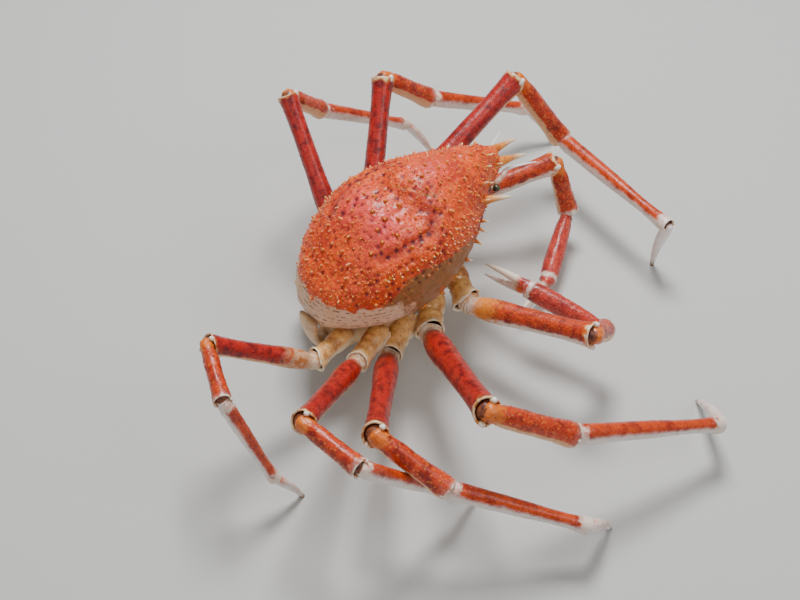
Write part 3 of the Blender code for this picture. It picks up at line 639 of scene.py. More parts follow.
def head_rings(place, way, across, radius):
    """Rings of the rounded head that a foot or a finger turns on."""
    at, radii = np.array(head_stations(radius)).T
    return ovals(place + np.outer(at, way), across, np.cross(across, way), radii, radii, LIMB_SIDES)


def upper_side(rows):
    """The topside of rings around a limb: one along the top, nothing along the bottom."""
    return poled(np.tile(0.5 + 0.5 * np.sin(AROUND), rows))


def segment(name, part, number, head, profile, shell, slot, flat=0.9, cut=0.55, rim_zone=1.0,
            head_zone=0.5, rim_reach=0.45, lobes=0.0, patches=0.0, head_flush=0.0, head_reach=0.9,
            rim_flush=0.0, rough=0.0002):
    """One numbered segment of a limb, from its rounded head to a rolled, mitred rim."""
    limb = limbs[name]
    start = limb["joints"][number]
    along, onward = limb["ways"][number:number + 2]
    across, upward = side_axes(along)
    stations = stations_of(head, profile, limb["sizes"][number], limb["radius"])
    end, r = stations[-1]
    at = np.linspace(stations[0, 0], end, int((end - stations[0, 0]) / RING_SPACING))
    radii = curve_through(stations, at)[:, 0]
    at = np.concatenate([at, end + ROLLED_LIP[:, 0] * r])
    radii = np.concatenate([radii, ROLLED_LIP[:, 1] * r])
    rows = len(at)
    section = (np.cos(AROUND) * flat)[:, None] * across + np.sin(AROUND)[:, None] * upward
    bend = onward - along * (onward @ along)
    sharp = min(1.0, float(np.linalg.norm(bend)) / 0.7)
    facing = (section @ unit(bend)) * sharp
    late = np.clip((at - end + 2.6 * r) / (2.6 * r), 0, 1) ** 2
    shift = np.outer(late, 0.10 * facing - 0.10 * sharp - cut * np.clip(facing, 0, 1) ** 1.5) * r
    places = at[:, None] + shift
    lobed = 1 + lobes * np.outer(late ** 2, np.clip(facing, -1, 1) ** 2 * 1.4 - 0.4)
    rings = start + along * places[:, :, None]
    rings = rings + section[None] * (radii[:, None] * lobed)[:, :, None]
    points = rings.reshape(-1, 3)
    lumps = rough * (noisy(points, 0.0034) + 0.8 * noisy(points, 0.0014, 7.0)
                     + 0.8 * noisy(points, 0.012, 3.0))
    outside = np.where(np.arange(rows) < rows - len(ROLLED_LIP), 1.0, 0.0)
    outside = outside * (1 + 2.0 * np.clip(1.4 - np.abs(at / r), 0, 1))
    lumps = lumps * np.repeat(outside, LIMB_SIDES)
    points = points + np.tile(section, (rows, 1)) * lumps[:, None]
    points, faces = skin(points.reshape(rings.shape))
    ragged = 0.10 * noisy(points[:-2], 0.004, 9.0)
    from_rim = np.repeat((end - at) / r, LIMB_SIDES) + ragged * 4
    from_head = np.repeat(at / r, LIMB_SIDES) + ragged * 4
    # Painted shade inside the rolled rim, where the next segment's neck sits.
    rim_shade = (np.arange(rows) - rows + len(ROLLED_LIP) - 1) / 2.0
    rim_shade = np.repeat(np.clip(rim_shade, 0, 1), LIMB_SIDES)
    rim_band = rim_zone * np.clip(1.25 - from_rim / rim_reach, 0, 1)
    head_band = head_zone * np.clip(1.6 - from_head / head_reach, 0, 1)
    patched = patches * np.clip(2.4 - 6.0 * from_head * r / end, 0, 1) * (ragged > -0.01)
    flush = np.maximum.reduce([patched, head_flush * np.clip(1.7 - from_head / 0.8, 0, 1),
                               rim_flush * np.clip(1.3 - from_rim / 0.5, 0, 1)])
    tip = np.clip(1.0 - np.abs(from_rim) / 0.22, 0, 1) * (1 - rim_shade)
    placed(f"{name}_{part}_shell", points, faces, shell, slot, [f"{name}_{part}"],
           topside=upper_side(rows), tip=poled(tip), hollow=poled(rim_shade),
           zone=poled(np.maximum(rim_band, head_band)), blush=poled(flush))


# Coxae.
# The short first segments that turn in the sternum: cuticle in dull gold and cream, grown with
# two flared lobes at the far rim. It is thinner and duller than on the legs.
COXA_PROFILE = (
    (0.00, 0.0, 1.00), (0.22, 0.0, 1.10), (0.46, 0.0, 1.06), (0.53, 0.0, 0.95),
    (0.58, 0.0, 1.03), (0.72, 0.0, 0.98), (0.90, 0.0, 1.10), (1.00, 0.05, 1.20),
)
coxa_cuticle = cuticle("coxa_cuticle", "#F2B868", "#B06838", "#F6E6C6", "#F8ECD2", "#F0C080",
                       mottle_mm=4.0, pale_from=0.40, pale_to=0.85, rough=0.42, groove="#3E1A1C",
                       grime=0.25)
for name in limbs:
    segment(name, "coxa", 0, 0.0, COXA_PROFILE, coxa_cuticle, "coxa", flat=1.0, cut=0.65,
            rim_reach=0.8, lobes=0.16, rough=0.0004)


# Meri, the long segments next to the body.
# Crimson cuticle with a fine purple mottle, paler below, its flared rim cream; those of the
# claws are orange over white. Dense and smooth, they have the wettest sheen of the limbs.
MERUS_PROFILE = (
    (0.0, 0.7, 0.82), (0.0, 1.3, 0.95), (0.5, 0.0, 1.00), (1.0, -2.2, 0.98),
    (1.0, -0.8, 1.06), (1.0, 0.1, 1.18),
)
merus_cuticle = cuticle("merus_cuticle", "#BC2016", "#6C0E18", "#E0A26C", "#ECD0A4", "#C8783C",
                        blush="#F0D8B4", mottle_mm=2.2, pale_from=0.34, pale_to=0.46, grain_mm=0.6,
                        rough=0.36, speck="#D24A26", speck_share=0.35, groove="#30060F")
claw_merus_cuticle = cuticle("claw_merus_cuticle", "#D0400E", "#8A1A10", "#EEDACA", "#F0DCC0",
                             "#EC8A2C", blush="#F6E4D6", mottle_mm=2.4, pale_from=0.46, pale_to=0.62,
                             grain_mm=0.6, speck="#F08A30", speck_share=0.4, groove="#4A0C10")
for name, limb in limbs.items():
    patchy = name == "leg_right_5"
    segment(name, "merus", 1, 0.74, MERUS_PROFILE,
            claw_merus_cuticle if name in claws else merus_cuticle, "red_limb", cut=0.75,
            rim_zone=0.9, head_zone=0.9 if name in claws or patchy else 0.3, head_flush=0.9,
            head_reach=0.25 * limb["sizes"][1] / limb["radius"] if patchy else 2.6,
            patches=0.45 if patchy else 0.0)


# Carpi, the wrists.
# Orange-red cuticle with an orange head, widening to a thin white far rim. Golden specks
# break up its sheen.
CARPUS_PROFILE = (
    (0.00, 0.8, 0.76), (0.00, 1.7, 0.86), (0.55, 0.0, 0.87), (1.00, -1.4, 0.92),
    (1.00, -0.4, 1.02), (1.00, 0.1, 1.03),
)
carpus_cuticle = cuticle("carpus_cuticle", "#D03C0E", "#8A1A08", "#EBB680", "#F4E6D2", "#E07018",
                         blush="#F4E4D6", mottle_mm=3.0, pale_from=0.40, pale_to=0.54, grain_mm=0.9,
                         rough=0.38, speck="#F09030", speck_share=0.45)
for name in limbs:
    segment(name, "carpus", 2, 0.72, CARPUS_PROFILE, carpus_cuticle, "orange_limb", cut=0.25,
            rim_zone=0.5, rim_reach=0.3, head_zone=0.9, rim_flush=1.0 if name in claws else 0.25,
            rough=0.00028)


# Propodi of the walking legs.
# Slender tubes of cuticle, white with a broad orange-red stripe along the top, and white
# where they are jointed. Fine-grained, so the stripe shows an even sheen.
PROPODUS_PROFILE = (
    (0.00, 0.45, 0.72), (0.00, 0.9, 0.80), (0.00, 1.8, 0.79), (0.45, 0.0, 0.73),
    (1.00, -1.4, 0.64), (1.00, -0.4, 0.74), (1.00, 0.05, 0.72),
)
propodus_cuticle = cuticle("propodus_cuticle", "#D4460E", "#9E240C", "#EFE2DA", "#F6EEE8",
                           "#F0DCCC", mottle_mm=3.0, pale_from=0.54, pale_to=0.84, grain_mm=0.6,
                           rough=0.34, speck="#EE7A30", speck_share=0.35)
for name in legs:
    segment(name, "propodus", 3, 0.58, PROPODUS_PROFILE, propodus_cuticle, "orange_limb", cut=0.3,
            rim_zone=0.95, rim_reach=2.2, head_zone=0.64, head_reach=1.3)


# Dactyls, the pointed last segments that stand on the floor.
# Smooth white cuticle, like worn ivory, with an orange blush at the root and a brown tip,
# ended by a small worn flat.
FOOT_FLAT = 0.0018
FOOT_BOW = 0.10
DACTYL_SHARES = (0.0, 0.14, 0.30, 0.55, 0.80, 1.0)
DACTYL_RADII = (0.42, 0.54, 0.52, 0.41, 0.28)
dactyl_cuticle = cuticle("dactyl_cuticle", "#F2E2DA", "#E0B4A0", "#F6F0EC", "#9A7A5C", "#D8602C",
                         mottle_mm=7.0, pale_from=0.3, pale_to=0.7, rough=0.30, grain_mm=0.9,
                         bump=0.00012, speck="#F6E8DC", speck_share=0.1, groove="#B07A58")
for name, limb in legs.items():
    r = limb["radius"]
    ankle, foot = limb["joints"][4:6]
    across, upward = side_axes(limb["ways"][4])
    bow = ankle + (foot - ankle) * 0.55 + upward * (FOOT_BOW * limb["sizes"][4])
    head = head_rings(ankle, unit(bow - ankle), across, 0.34 * r)
    t = np.linspace(0.08, 0.97, 44)[:, None]
    centres = ankle * (1 - t) ** 2 + bow * (2 * t * (1 - t)) + foot * t ** 2
    ahead = (bow - ankle) * (1 - t) + (foot - bow) * t
    ahead /= np.linalg.norm(ahead, axis=1, keepdims=True)
    thick = r * np.interp(t[:, 0], DACTYL_SHARES, (*DACTYL_RADII, FOOT_FLAT / r))
    blade = ovals(centres, across, np.cross(across, ahead), 0.9 * thick, thick, LIMB_SIDES)
    ridge = np.abs(np.cos(AROUND)) ** 12
    side_line = 1 - 0.10 * ridge[None, :, None] * np.sin(np.pi * t[:, :, None])
    blade = centres[:, None] + (blade - centres[:, None]) * side_line
    sole = ovals(foot[None], across, np.cross(across, (0, 0, -1.0)), FOOT_FLAT, FOOT_FLAT,
                 LIMB_SIDES)
    rings = np.concatenate([head, blade, sole])
    rings[:, :, 2] = np.maximum(rings[:, :, 2], 0.0)
    points, faces = skin(rings)
    along_share = np.repeat(np.linspace(0, 1, len(rings)), LIMB_SIDES)
    top = np.clip(0.5 + (rings - rings.mean(1, keepdims=True))[:, :, 2] / r, 0, 1).ravel()
    root = 0.8 * np.clip(1 - along_share * 3.2, 0, 1) * np.clip(top * 2 - 0.6, 0, 1)
    placed(f"{name}_dactyl_shell", points, faces, dactyl_cuticle, "pale_tip", [f"{name}_dactyl"],
           topside=poled(top), tip=poled(along_share ** 8), zone=poled(root))


# Claws.
# The palm carries the fixed finger and the free finger turns below it: crimson cuticle with a
# satin sheen on the palm, pale on the fingers, whose biting edges are a row of blunt teeth.
CLAW_POSES = {1: (-3, 20), -1: (4, 14)}
FINGER_BEND = 0.10
TEETH = 9
PALM_RINGS = 56
PALM_PROFILE = (
    (0.00, 0.8, 0.66), (0.00, 1.7, 0.80), (0.45, 0.0, 0.92), (0.80, 0.0, 0.98), (0.97, 0.0, 0.90),
)
palm_cuticle = cuticle("palm_cuticle", "#CC3A2C", "#841820", "#E8A684", "#EEDCC8", "#F0DCCE",
                       mottle_mm=4.0, pale_from=0.14, pale_to=0.40, grain_mm=0.6, rough=0.36,
                       speck="#EE8A5A", speck_share=0.4)


def finger(start, way, across, upward, length, r, teeth_side):
    """Rings of a claw's finger, hooked at its tip and toothed along its biting edge."""
    t = np.linspace(0.06, 1.0, 60)
    radii = r * np.interp(t, (0.0, 0.12, 0.35, 0.70, 1.0), (0.42, 0.45, 0.38, 0.26, 0.09))
    bend = teeth_side * FINGER_BEND * length * t * t
    centres = start + np.outer(t * length, way) + np.outer(bend, upward)
    rings = ovals(centres, across, upward, 0.85 * radii, radii, LIMB_SIDES)
    bite = np.clip(np.sin(AROUND) * teeth_side, 0, 1) ** 4
    bumps = np.abs(np.sin(np.pi * TEETH * t)) * np.clip(1.2 - t, 0, 1) * np.clip(6 * t - 1, 0, 1)
    return rings + upward * (teeth_side * 0.14 * r * bumps[:, None] * bite[None])[:, :, None]


for name, limb in claws.items():
    r = limb["radius"]
    wrist, ankle = limb["joints"][3:5]
    along = limb["ways"][3]
    length, finger_length = limb["sizes"][3:5]
    finger_rise, gape = CLAW_POSES[limb["side"]]
    fixed_way = heading(limb["last_compass"], finger_rise)
    across, upward = side_axes(along)
    stations = stations_of(0.50, PALM_PROFILE, length, r)
    at = np.linspace(stations[0, 0], stations[-1, 0], PALM_RINGS)
    radii = curve_through(stations, at)[:, 0]
    hand = ovals(wrist + np.outer(at, along), across, upward, 0.85 * radii, radii, LIMB_SIDES)
    points = hand.reshape(-1, 3)
    lumps = 0.0003 * (noisy(points, 0.004) + noisy(points, 0.0015, 5.0))
    hand = hand + (outward(hand).reshape(-1, 3) * lumps[:, None]).reshape(hand.shape)
    upper_finger = finger(ankle + upward * (0.36 * r), fixed_way, *side_axes(fixed_way),
                          finger_length, r, -1)
    rings = np.concatenate([hand, upper_finger])
    points, faces = skin(rings)
    row = np.repeat(np.arange(len(rings)), LIMB_SIDES)
    finger_share = np.clip((row - PALM_RINGS + 2) / 16, 0, 1)
    neck = np.clip(1.2 - row / 8, 0, 1)
    knuckle = 0.8 * np.exp(-((row - PALM_RINGS + 3) / 2.4) ** 2)
    placed(f"{name}_palm_shell", points, faces, palm_cuticle, "red_limb", [f"{name}_palm"],
           topside=upper_side(len(rings)), tip=poled(finger_share),
           zone=poled(np.maximum(neck, knuckle)))

    opened = Matrix.Rotation(math.radians(-gape), 3, Vector(across))
    open_way = np.array(opened @ Vector(fixed_way))
    pivot = ankle - upward * (0.42 * r)
    head = head_rings(pivot, open_way, across, 0.36 * r)
    free = finger(pivot, open_way, across, np.cross(across, open_way), finger_length, r, 1)
    rings = np.concatenate([head, free])
    points, faces = skin(rings)
    share_along = np.repeat(np.linspace(0, 1, len(rings)), LIMB_SIDES)
    placed(f"{name}_finger_shell", points, faces, dactyl_cuticle, "pale_tip", [f"{name}_finger"],
           topside=upper_side(len(rings)), zone=poled(0.9 * np.clip(1 - share_along * 3, 0, 1)))


# Joint skins and hinge knobs.
# The leathery, matt folded skin between a segment's rim and the next one's neck, the pale
# ringed base of each merus, and two hard polished knobs at the ends of each hinge's axis.
FOLD_COUNT = 4
SLEEVE_RINGS = 22
KNOB_RINGS = 21
membrane = cuticle("joint_membrane", "#9A5030", "#4A1E18", "#B07848", "#D8A878", "#6E3420",
                   mottle_mm=2.0, grain_mm=0.4, bump=0.0001, rough=0.5, speck_share=0.0,
                   groove="#3A1A10")
# Tan knobs whose near-white tip colour paints the glossy highlight on their crowns.
knob_cuticle = cuticle("knob_cuticle", "#E0AE74", "#B87A48", "#E2B888", "#F6F0E6", "#EEDCC4",
                       mottle_mm=3.0, grain_mm=0.8, bump=0.00008, rough=0.22, speck_share=0.0,
                       groove="#C8A888")


def unit_rows(ways):
    """Rows of directions made one long."""
    return ways / np.linalg.norm(ways, axis=1, keepdims=True)


def sleeve(joint, along, onward, wide, narrow, r):
    """Rings of folded skin from inside a rim to the next neck, and how far each ring stands out."""
    t = np.linspace(0, 1, SLEEVE_RINGS)[:, None]
    start, end = joint - along * 0.60 * r, joint + onward * 0.35 * r
    centres = start * (1 - t) ** 2 + joint * (2 * t * (1 - t)) + end * t ** 2
    ways = unit_rows(along * (1 - t) + onward * t)
    hinge = unit(np.cross(along, onward))
    size = (wide + (narrow - wide) * t[:, 0] ** 0.8) * r
    wave = np.cos(2 * np.pi * FOLD_COUNT * t[:, 0])
    size = size * (1 + 0.05 * wave)
    return ovals(centres, hinge, np.cross(hinge, ways), size, size, 32), 0.5 + 0.5 * wave


def knob(place, axis, along, r):
    """Rings of a rounded boss that stands out along an axis, hooked along the limb."""
    across = unit(np.cross(axis, along))
    upward = np.cross(across, axis)
    angle = np.radians(np.linspace(6, 174, KNOB_RINGS))
    centres = place - np.outer(np.cos(angle) * r, axis)
    centres = centres + np.outer(0.12 * r * (1 - np.cos(angle)) ** 2, along)
    return ovals(centres, across, upward, np.sin(angle) * r, 1.45 * np.sin(angle) * r, 24)


# Joint, width of the skin at the rim and the neck, distance and size of the knobs, in radii.
JOINT_SIZES = ((2, 0.86, 0.60, 0.90, 0.26), (3, 0.74, 0.46, 0.78, 0.20), (4, 0.46, 0.32, 0.50, 0.13))
bases, sleeves, knobs = [], [], []
for name, limb in limbs.items():
    r = limb["radius"]
    joint, along, onward = limb["joints"][1], *limb["ways"][:2]
    bases.append(sleeve(joint + onward * 0.15 * r, along, onward, 0.94, 0.80, r))
    for number, wide, narrow, apart, boss in JOINT_SIZES:
        if number == 4 and name in claws:
            continue
        joint = limb["joints"][number]
        along, onward = limb["ways"][number - 1:number + 1]
        sleeves.append(sleeve(joint, along, onward, wide, narrow, r))
        hinge = unit(np.cross(along, onward))
        for side in (-1, 1):
            place = joint + hinge * (side * apart * r) - along * (0.2 * boss / 0.36 * r)
            knobs.append((knob(place, side * hinge, along, boss * r), np.linspace(0, 1, KNOB_RINGS)))
coxae = [f"{name}_coxa" for name in limbs]
points, faces, folds = joined(sleeves)
# Painted shade in the creases between the folds of the skin.
placed("joint_skins", points, faces, membrane, "coxa", coxae, topside=0.6,
       hollow=0.5 * (1 - folds))
points, faces, folds = joined(bases)
basis_cuticle = cuticle("basis_cuticle", "#F0DCC8", "#E09A48", "#F2E6DA", "#F8F0E8", "#E0A050",
                        mottle_mm=2.6, grain_mm=0.5, bump=0.00015, rough=0.36, speck="#E8A850",
                        groove="#6A2E2A", grime=0.15)
# Painted shade in the creases between the base's rings.
placed("limb_bases", points, faces, basis_cuticle, "coxa", coxae, topside=0.8,
       hollow=0.6 * (1 - folds) ** 3)
# Painted highlight: each knob is painted whitest at its crown, where the gloss falls.
points, faces, tips = joined(knobs)
placed("joint_knobs", points, faces, knob_cuticle, "pale_tip", [f"{name}_merus" for name in limbs],
       topside=0.9, tip=tips)


# Belly plate.
# The sternum that the limbs turn in: pale, dull cuticle plates fused across the belly, with a
# furrow between each pair of limbs and one down the middle.

# Place ahead and half width.
STERNUM_STATIONS = (
    (-0.079, 0.012), (-0.071, 0.021), (-0.052, 0.033), (-0.028, 0.037),
    (-0.002, 0.035), (0.024, 0.029), (0.040, 0.018), (0.046, 0.009),
)
STERNUM_TOP = -0.0215
STERNUM_BOTTOM = -0.046
FURROWS = (-0.062, -0.039, -0.014, 0.011, 0.033)
FURROW_DEPTH = 0.0011
STERNUM_SIDES = 72
belly_cuticle = cuticle("belly_cuticle", "#D8A066", "#A06A3C", "#E6C89C", "#F0E0C4", "#D08A50",
                        mottle_mm=7.0, pale_from=0.4, pale_to=0.9, rough=0.46, groove="#8A5A38",
                        speck="#F4DEBC")


def boxed(sides, power):
    """Cosines and sines around a section, pushed out towards the corners of its box."""
    turn = 2 * np.pi * np.arange(sides) / sides
    return [np.sign(wave) * np.abs(wave) ** power for wave in (np.cos(turn), np.sin(turn))]


at = np.linspace(STERNUM_STATIONS[0][0], STERNUM_STATIONS[-1][0], 130)
half = curve_through(STERNUM_STATIONS, at)[:, 0]
level, rise = boxed(STERNUM_SIDES, 0.5)
x = np.outer(half, level)
z = 0.5 * (STERNUM_TOP + STERNUM_BOTTOM) + 0.5 * (STERNUM_TOP - STERNUM_BOTTOM) * rise
furrow = sum(np.exp(-((at - y) / 0.0013) ** 2) for y in FURROWS)[:, None] * np.ones(STERNUM_SIDES)
furrow = np.maximum(furrow, np.exp(-(x / 0.0016) ** 2)) * (rise < 0.3)
grid = np.stack([x, np.broadcast_to(at[:, None], x.shape), np.broadcast_to(z, x.shape)], -1)
flat = grid.reshape(-1, 3)
lumps = 0.0003 * noisy(flat, 0.005) + 0.00015 * noisy(flat, 0.0016)
lumps = lumps - FURROW_DEPTH * furrow.ravel() - 0.0002
flat = flat + outward(grid).reshape(-1, 3) * lumps[:, None]
points, faces = skin(held(flat).reshape(grid.shape))
# Painted shade in the furrows.
placed("sternum_plate", points, faces, belly_cuticle, "belly", ["sternum"], topside=0.6,
       hollow=poled(0.7 * furrow.ravel()))


# Folded tail.
# The abdomen: seven plates of the belly's pale cuticle, hinged in a row and folded under the
# belly from the rear margin.

# Place ahead, height and half width, from the rear margin forwards under the belly.
ABDOMEN_PATH = (
    (-0.0888, -0.0060, 0.0095), (-0.0908, -0.0140, 0.0095), (-0.0912, -0.0260, 0.0095),
    (-0.0892, -0.0390, 0.0110), (-0.0815, -0.0500, 0.0135), (-0.0660, -0.0535, 0.0150),
    (-0.0480, -0.0545, 0.0145), (-0.0280, -0.0545, 0.0120), (-0.0100, -0.0540, 0.0080),
    (0.0020, -0.0535, 0.0040),
)
ABDOMEN_THICKNESS = 0.0055
ABDOMEN_PLATES = 7
ABDOMEN_SIDES = 56


def followed(path, axes, count):
    """A path's values at even shares of its length; its first columns are its places."""
    path = np.array(path)
    run = np.append(0, np.cumsum(np.linalg.norm(np.diff(path[:, :axes], axis=0), axis=1)))
    run /= run[-1]
    t = np.linspace(0, 1, count)
    return t, run, curve_through(np.column_stack([run, path]), t)


t, _, values = followed(ABDOMEN_PATH, 2, 190)
y, z, half = values.T
centres = np.column_stack([np.zeros(len(t)), y, z])
ways = unit_rows(np.gradient(centres, axis=0))
hinge_line = np.abs(np.sin(np.pi * ABDOMEN_PLATES * t)) ** 0.35
hinge_line[[0, -1]] = 0.6
level, rise = boxed(ABDOMEN_SIDES, 0.8)
wide = half * (0.93 + 0.07 * hinge_line)
thick = 0.5 * ABDOMEN_THICKNESS * (0.80 + 0.20 * hinge_line)
keel = 1 + 0.12 * np.exp(-(np.abs(level) ** 1.25 / 0.25) ** 2)
up = np.cross(ways, (1.0, 0.0, 0.0))
grid = centres[:, None] + np.array((1.0, 0, 0)) * np.outer(wide, level)[..., None]
grid = grid + up[:, None] * np.outer(thick, rise * keel)[..., None]
flat = grid.reshape(-1, 3)
flat = flat + outward(grid).reshape(-1, 3) * (0.0002 * noisy(flat, 0.003))[:, None]
points, faces = skin(held(flat).reshape(grid.shape))
# Painted shade in the gaps between the plates.
gaps = np.repeat(np.clip(1 - hinge_line / 0.6, 0, 1), ABDOMEN_SIDES)
placed("abdomen_plates", points, faces, belly_cuticle, "belly", ["abdomen"], topside=0.6,
       hollow=poled(0.8 * gaps))


# Jaws.
# The outer mouthparts: a pair of flat cuticle plates that close the mouth, each with two
# seams and a fringe of stiff bristles along the inner edge.
MOUTH_X = 0.0080
MOUTH_TOP = -0.0240
MOUTH_SEAMS = (0.0600, 0.0690)
JAW_SIDES = 40
# Place ahead, half width and lower face.
MOUTH_STATIONS = (
    (0.0475, 0.0046, -0.0295), (0.0520, 0.0066, -0.0312), (0.0575, 0.0070, -0.0318),
    (0.0600, 0.0062, -0.0310), (0.0620, 0.0068, -0.0316), (0.0670, 0.0064, -0.0314),
    (0.0690, 0.0050, -0.0306), (0.0730, 0.0040, -0.0300),
)
BRISTLES = 34
BRISTLE_START = 0.0490
BRISTLE_RUN = 0.0225
for side, side_name in SIDE_NAMES.items():
    at = np.linspace(MOUTH_STATIONS[0][0], MOUTH_STATIONS[-1][0], 60)
    half, low = curve_through(MOUTH_STATIONS, at).T
    level, rise = boxed(JAW_SIDES, 0.7)
    x = side * MOUTH_X + np.outer(half, level)
    z = 0.5 * (MOUTH_TOP + low)[:, None] + np.outer(0.5 * (MOUTH_TOP - low), rise)
    z = z + 0.0006 * np.exp(-((x - side * (MOUTH_X + 0.0015)) / 0.0009) ** 2) * (rise < 0)
    grid = np.stack([x, np.broadcast_to(at[:, None], x.shape), z], -1)
    points, faces = skin(held(grid.reshape(-1, 3)).reshape(grid.shape))
    # Painted shade along the two seams.
    seams = sum(np.exp(-((at - y) / 0.0008) ** 2) for y in MOUTH_SEAMS)
    placed(f"jaw_{side_name}", points, faces, coxa_cuticle, "coxa", [f"mouthpart_{side_name}"],
           topside=0.6, zone=0.3, hollow=poled(0.8 * np.repeat(seams, JAW_SIDES)))
    fringe = []
    for number in range(BRISTLES):
        y = BRISTLE_START + BRISTLE_RUN * number / (BRISTLES - 1)
        root = (side * (MOUTH_X - 0.0052), y, -0.0290)
        tip = (side * (MOUTH_X - 0.0072), y + 0.0008, -0.0302 + 0.0006 * math.sin(number * 2.4))
        fringe.append((spine(held(root)[0], held(tip)[0], 0.00022)[::3, ::3], 0.2))
    points, faces, tips = joined(fringe)
    placed(f"jaw_bristles_{side_name}", points, faces, membrane, "coxa",
           [f"mouthpart_{side_name}"], topside=0.2)


# Eyes.
# A dark cornea, glossy as wet glass, on a short pale stalk of cuticle at each side of the
# head, set in its orbit.
EYE_ROOT = (0.0105, 0.0735, 0.0010)
EYE_WAY = (0.80, 0.60, 0.02)
EYE_STALK = 0.0105
EYE_RADIUS = 0.0030
EYE_SIDES = 40
STALK_SHARES = np.array((0.0, 0.25, 0.5, 0.68))
STALK_RADII = (0.0016, 0.0018, 0.0017, 0.0018)
cornea = cuticle("eye_cornea", "#4A4A2C", "#1C1A12", "#5A5636", "#E8D2BC", "#2A2818",
                 mottle_mm=1.2, grain_mm=0.25, rough=0.10, bump=0.00002, speck="#6A6A44",
                 speck_share=0.3)
for side, side_name in SIDE_NAMES.items():
    start = held(np.array(EYE_ROOT) * (side, 1, 1))[0]
    way = held_way(np.array(EYE_WAY) * (side, 1, 1))
    angle = np.radians(np.linspace(34, 176, 26))
    ball = EYE_STALK + 0.6 * EYE_RADIUS
    out = np.concatenate([STALK_SHARES * EYE_STALK, ball - EYE_RADIUS * np.cos(angle)])
    radii = np.concatenate([STALK_RADII, EYE_RADIUS * np.sin(angle)])
    points, faces = skin(ovals(start + np.outer(out, way), *side_axes(way), radii, radii, EYE_SIDES))
    stalk = np.repeat(np.where(np.arange(len(out)) < 6, 1.0, 0.0), EYE_SIDES)
    placed(f"eye_{side_name}_ball", points, faces, cornea, "eye", [f"eye_{side_name}"], topside=0.8,
           tip=poled(stalk))


# Feelers.
# The antennae: stout pale joints of cuticle at the root and a thin ringed whip, jointed to
# the head beside the horns. Smooth and almost white, they look like fine porcelain.

# Place in the body's own frame and radius.
FEELER_PATH = (
    (0.0110, 0.0790, -0.0010, 0.0020), (0.0150, 0.0860, -0.0010, 0.0023),
    (0.0138, 0.0930, -0.0020, 0.0021), (0.0115, 0.0995, -0.0030, 0.0017),
    (0.0125, 0.1040, -0.0040, 0.0010), (0.0160, 0.1130, -0.0055, 0.0008),
    (0.0205, 0.1220, -0.0070, 0.0004),
)
FEELER_SIDES = 24
feeler_cuticle = cuticle("feeler_cuticle", "#E6C4AC", "#B87A58", "#EEE6E6", "#F2F0F4", "#D8946A",
                         mottle_mm=2.5, grain_mm=0.35, rough=0.30, bump=0.0001, speck_share=0.1)
t, run, along_path = followed(FEELER_PATH, 3, 120)
for side, side_name in SIDE_NAMES.items():
    centres = held(along_path[:, :3] * (side, 1, 1))
    ways = unit_rows(np.gradient(centres, axis=0))
    radii = along_path[:, 3].copy()
    for joint_share in run[1:4]:
        radii *= 1 - 0.28 * np.exp(-((t - joint_share) / 0.012) ** 2)
    radii *= 1 + 0.06 * np.sin(t * 230) * (t > run[4])
    across = unit_rows(np.cross(ways, (0, 0, 1.0)))
    points, faces = skin(ovals(centres, across, np.cross(across, ways), radii, radii, FEELER_SIDES))
    base = np.repeat(np.clip(1 - t / run[2], 0, 1), FEELER_SIDES)
    placed(f"feeler_{side_name}_whip", points, faces, feeler_cuticle, "feeler",
           [f"feeler_{side_name}"], topside=0.7, tip=poled(np.repeat(t, FEELER_SIDES)),
           zone=poled(base))


# Tubercles and granules.
# Hundreds of blunt conical warts on the dome and flanks, orange cuticle with polished golden
# tips, and fine granules on the limbs. Geometry Nodes scatter copies of one small cone.
WART_PROFILE = ((-0.40, 1.30), (0.0, 1.05), (0.40, 0.74), (0.85, 0.48), (1.25, 0.24), (1.40, 0.08))
GRANULE_PROFILE = ((-0.4, 1.1), (0.0, 1.0), (0.6, 0.62), (0.8, 0.2))


def small_cone(name, sides, profile, tip_share):
    """A small cone to scatter: its base at the origin, its tip field growing upwards."""
    heights, radii = np.array(profile).T
    rings = ovals(np.outer(heights, (0, 0, 1.0)), (1.0, 0, 0), (0, 1.0, 0), radii, radii, sides)
    rise = poled(np.repeat(np.clip(heights / heights[-1], 0, 1), sides))
    return set_out(name, painted(name, *skin(rings), topside=0.8, tip=tip_share * rise ** 2))


def ground(name, pieces):
    """One bare mesh of several finished pieces, with the room they have for grains."""
    points, faces, tops = [], [], []
    count = 0
    for piece in pieces:
        mesh = piece.data
        own = np.empty(len(mesh.vertices) * 3, np.float32)
        mesh.vertices.foreach_get("co", own)
        points.append(own.reshape(-1, 3))
        faces += [[index + count for index in face.vertices] for face in mesh.polygons]
        values = {field: np.empty(len(mesh.vertices), np.float32) for field in FIELDS}
        for field in FIELDS:
            mesh.attributes[field].data.foreach_get("value", values[field])
        bare = 1 - np.clip(values["hollow"] * 3 + values["tip"] * 2 + values["zone"] * 0.8, 0, 1)
        tops.append(values["topside"] * bare)
        count += len(mesh.vertices)
    mesh = bpy.data.meshes.new(name)
    mesh.from_pydata(np.concatenate(points).tolist(), [], faces)
    mesh.attributes.new("room", "FLOAT", "POINT").data.foreach_set("value", np.concatenate(tops))
    return mesh


